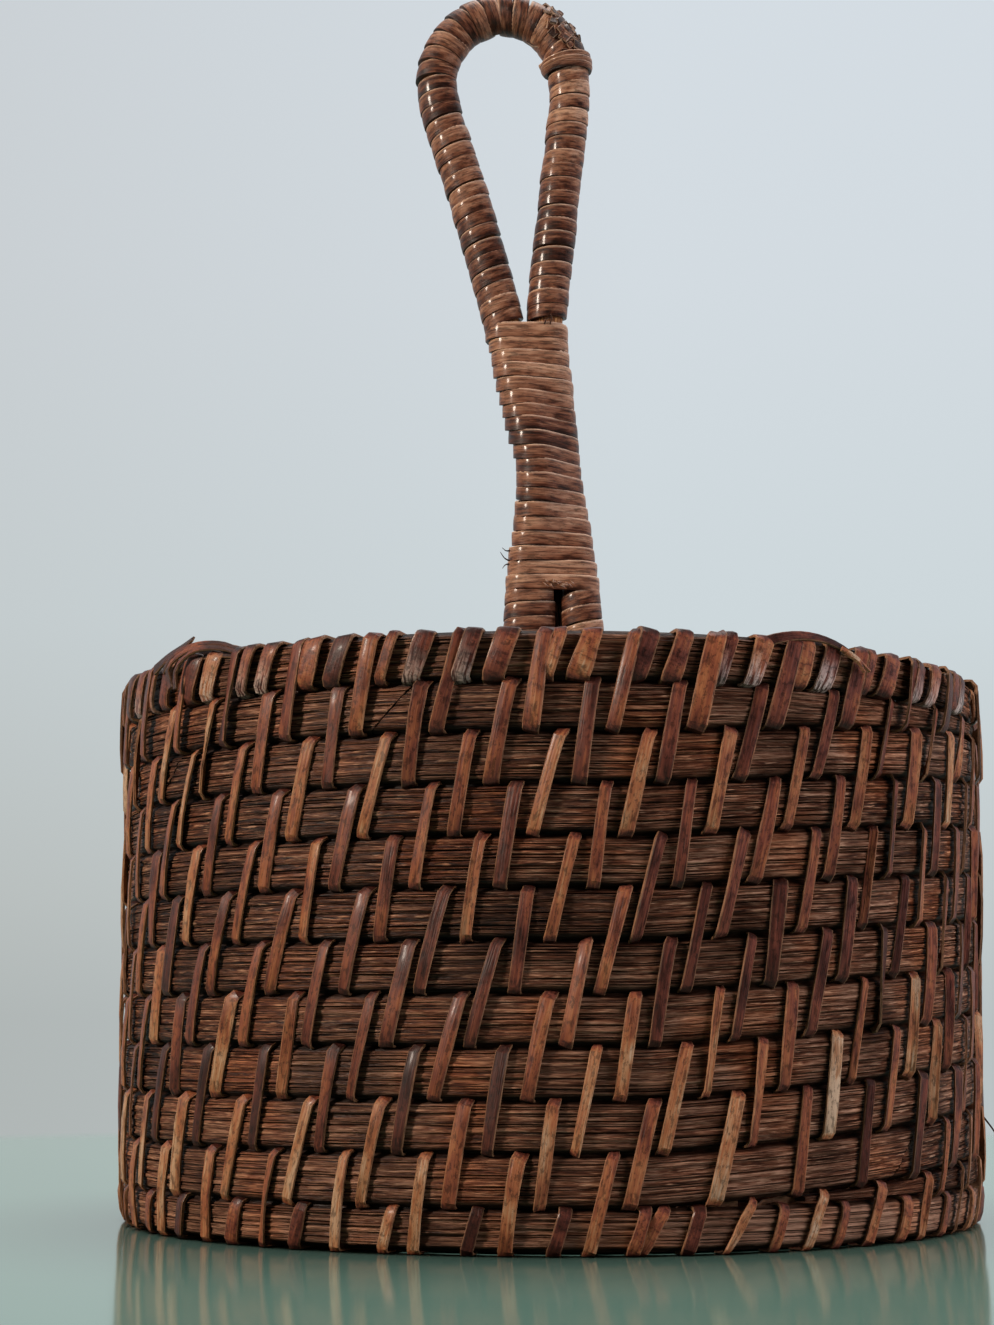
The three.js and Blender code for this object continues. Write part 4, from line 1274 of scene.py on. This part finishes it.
hair_shapes = [small_strip(knots, (0, -1, 0.2), 0.55, 0.4, 0.5, 0.25) for knots in HAIRS]
join_stitches("loose_hairs", hair_shapes, [0.02] * len(HAIRS))
slivers = []
for i in range(SLIVERS):
    x, z = rng.uniform(-4, 7), rng.uniform(192.4, 194.4)
    lean = rng.uniform(0.6, 2.6)
    knots = [(x, -7.1, z), (x + 0.5 * lean, -7.5, z - 0.5), (x + lean, -7.6, z - rng.uniform(0.6, 1.6))]
    slivers.append(small_strip(knots, (0, -1, 0.2), 0.4, 0.2, 0.6, 0.3))
join_stitches("pale_slivers", slivers, [1.0] * SLIVERS, worn=1.0)
print("Hairs and slivers:", len(HAIRS) + SLIVERS)

# %% [markdown]
# ## The base
# The base is the same flat core, laid down in a spiral and sewn with short stitches of cane between
# one turn and the next. The bar of the core is laid flat, so its wide side looks down and up.

# %% The spiral base
BASE_PITCH, BASE_GAP, BASE_THICKNESS, BASE_EYE_R, BASE_START_R = 13.4, 0.8, 5, 0.6, 3
BASE_R = 121.5
BASE_TUCK = 1
BASE_LENGTH = 3700
base_start = BASE_START_R / BASE_PITCH * 360
base_end = 360 + (BASE_R - BASE_GAP - TIP_HEIGHT) / BASE_PITCH * 360


def base_edge(arc):
    """Distance of the core's outer edge from the axis, at these degrees along the spiral."""
    return np.minimum(BASE_PITCH * arc / 360, BASE_R + BASE_TUCK)


def base_inner(arc):
    """Distance of its inner edge: a small eye at first, then a gap beside the turn before."""
    return np.where(arc < 360, BASE_EYE_R, base_edge(arc - 360) + BASE_GAP)


def on_base(out, arc, radius):
    """A place on the base: height from the middle of its thickness, degrees, distance from the axis."""
    angle = np.radians(CLIMB_START + np.asarray(arc, float))
    height = BASE_THICKNESS / 2 + out + 0 * angle
    return np.stack([radius * np.sin(angle), -radius * np.cos(angle), height], -1)


# A station every 4.5 mm of the spiral, and at least every 12 degrees
base_places = []
arc = base_start
while arc < base_end:
    base_places.append(arc)
    arc += min(12, 260 / max(float(base_edge(arc)), 8))
base_bar = core_bar(
    "spiral_base", np.array(base_places + [base_end]), base_inner, base_edge, on_base, 501,
    lambda station, row, points: 0.08 * wander(station / 30, 502), BASE_LENGTH, limits=(2, 0.05, 4.95),
)
finish_piece(base_bar, base_core, ["base_coil"], smooth=40)
print("Stations of the base:", len(base_places) + 1)

# %% The stitches of the base
FIRST_BASE_STITCH = 420.0
BASE_STITCH = 12

rng = np.random.default_rng(909)
base_stitches = []
arc = FIRST_BASE_STITCH
while arc < base_end - 8:
    edge = float(base_edge(arc))
    step = math.degrees(BASE_STITCH / edge)
    slant = math.degrees(rng.uniform(1.0, 2.4) / edge)
    path = stitch_path(
        2.3, -1.6, (arc + slant, edge - 0.4), (arc - slant, edge - 1.5 * BASE_PITCH),
        ((arc + step / 2, edge - 0.7 * BASE_PITCH), (arc + step, edge - 0.4)), 0.1, on_base,
    )
    base_stitches.append(lay_stitch(path, 3.2 * rng.uniform(0.85, 1.15), 0.6, rng.normal(0, 0.06)))
    arc += step
join_stitches("base_straps", base_stitches, stains_for(base_stitches, 0.5, 0.15))
print("Base straps:", len(base_stitches))

# %% [markdown]
# ## The dividers
# Six panels part the basket into compartments. Each is built of six rows of the same core, lashed
# with short stitches. Each row is a bar of its own, and the six are joined into one panel.

# %% Divider panels
ROWS_PER_PANEL = 6
PANEL_COLUMNS = 28
PANEL_Z = BASE_THICKNESS + 0.3
PANEL_HEIGHT = 80
PANEL_TOP = PANEL_Z + PANEL_HEIGHT
PANEL_END = 120.55
PANEL_STARTS = (10.7, 17.7, 10.7, 10.7, 14.0, 10.7)
ROW_PITCH = PANEL_HEIGHT / ROWS_PER_PANEL
ROW_GAP = 0.4
PANEL_STITCH = 19


def panel_surface(index):
    """The surface of one panel: distance off its middle, distance from the axis, height."""
    angle = math.radians((index + 0.5) * 360 / len(PANEL_STARTS))
    outward = np.array([math.sin(angle), -math.cos(angle), 0])
    side = np.array([math.cos(angle), math.sin(angle), 0])

    def on_panel(out, place, z):
        flat = outward * np.asarray(place)[..., None] + side * np.asarray(out)[..., None]
        return flat + np.stack([0 * z, 0 * z, z], -1)
    return on_panel


for index, start in enumerate(PANEL_STARTS):
    places = start + (PANEL_END - start) * np.arange(PANEL_COLUMNS + 1) / PANEL_COLUMNS
    bars = []
    for k in range(ROWS_PER_PANEL):
        bottom = level(PANEL_Z + k * ROW_PITCH + ROW_GAP)
        top = level(PANEL_Z + (k + 1) * ROW_PITCH - ROW_GAP)
        bars.append(core_bar(
            f"panel_row_{index}_{k}", places, bottom, top, panel_surface(index), 600 + 10 * index + k,
            lambda station, row, points: 0.08 * wander(station / 12, 700 + k), PANEL_END - start,
            limits=(2, PANEL_Z, PANEL_TOP),
        ))
    select_only(*bars)
    bpy.ops.object.join()
    panel = bpy.context.object
    panel.name = f"panel_{index + 1}"
    finish_piece(panel, base_core, [f"divider_{index + 1}"], smooth=40)
print("Panels:", len(PANEL_STARTS))

# %% The stitches of the dividers
rng = np.random.default_rng(808)
panel_stitches = []
for index, start in enumerate(PANEL_STARTS):
    for k in range(ROWS_PER_PANEL - 1):
        place = start + 9 + 7 * (k % 2)
        while place < PANEL_END - 8:
            low = PANEL_Z + k * ROW_PITCH + 0.5
            high = min(low + 2 * ROW_PITCH - 1.0, PANEL_TOP - 0.6)
            path = stitch_path(
                2.45, -2.45, (place + 1.2, high), (place - 1.2, low),
                ((place + 4, low + ROW_PITCH), (place + 8, high)), 0.1, panel_surface(index),
            )
            panel_stitches.append(lay_stitch(path, 3.4 * rng.uniform(0.88, 1.12), 0.7, rng.normal(0, 0.06)))
            place += PANEL_STITCH
join_stitches("panel_straps", panel_stitches, stains_for(panel_stitches, 0.5, 0.15))
print("Panel straps:", len(panel_stitches))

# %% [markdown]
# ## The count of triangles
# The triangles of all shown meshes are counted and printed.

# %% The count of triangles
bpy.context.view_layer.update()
meshes = [piece.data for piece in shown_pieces() if piece.type == "MESH"]
print("Triangles:", sum(len(face.vertices) - 2 for mesh in meshes for face in mesh.polygons))
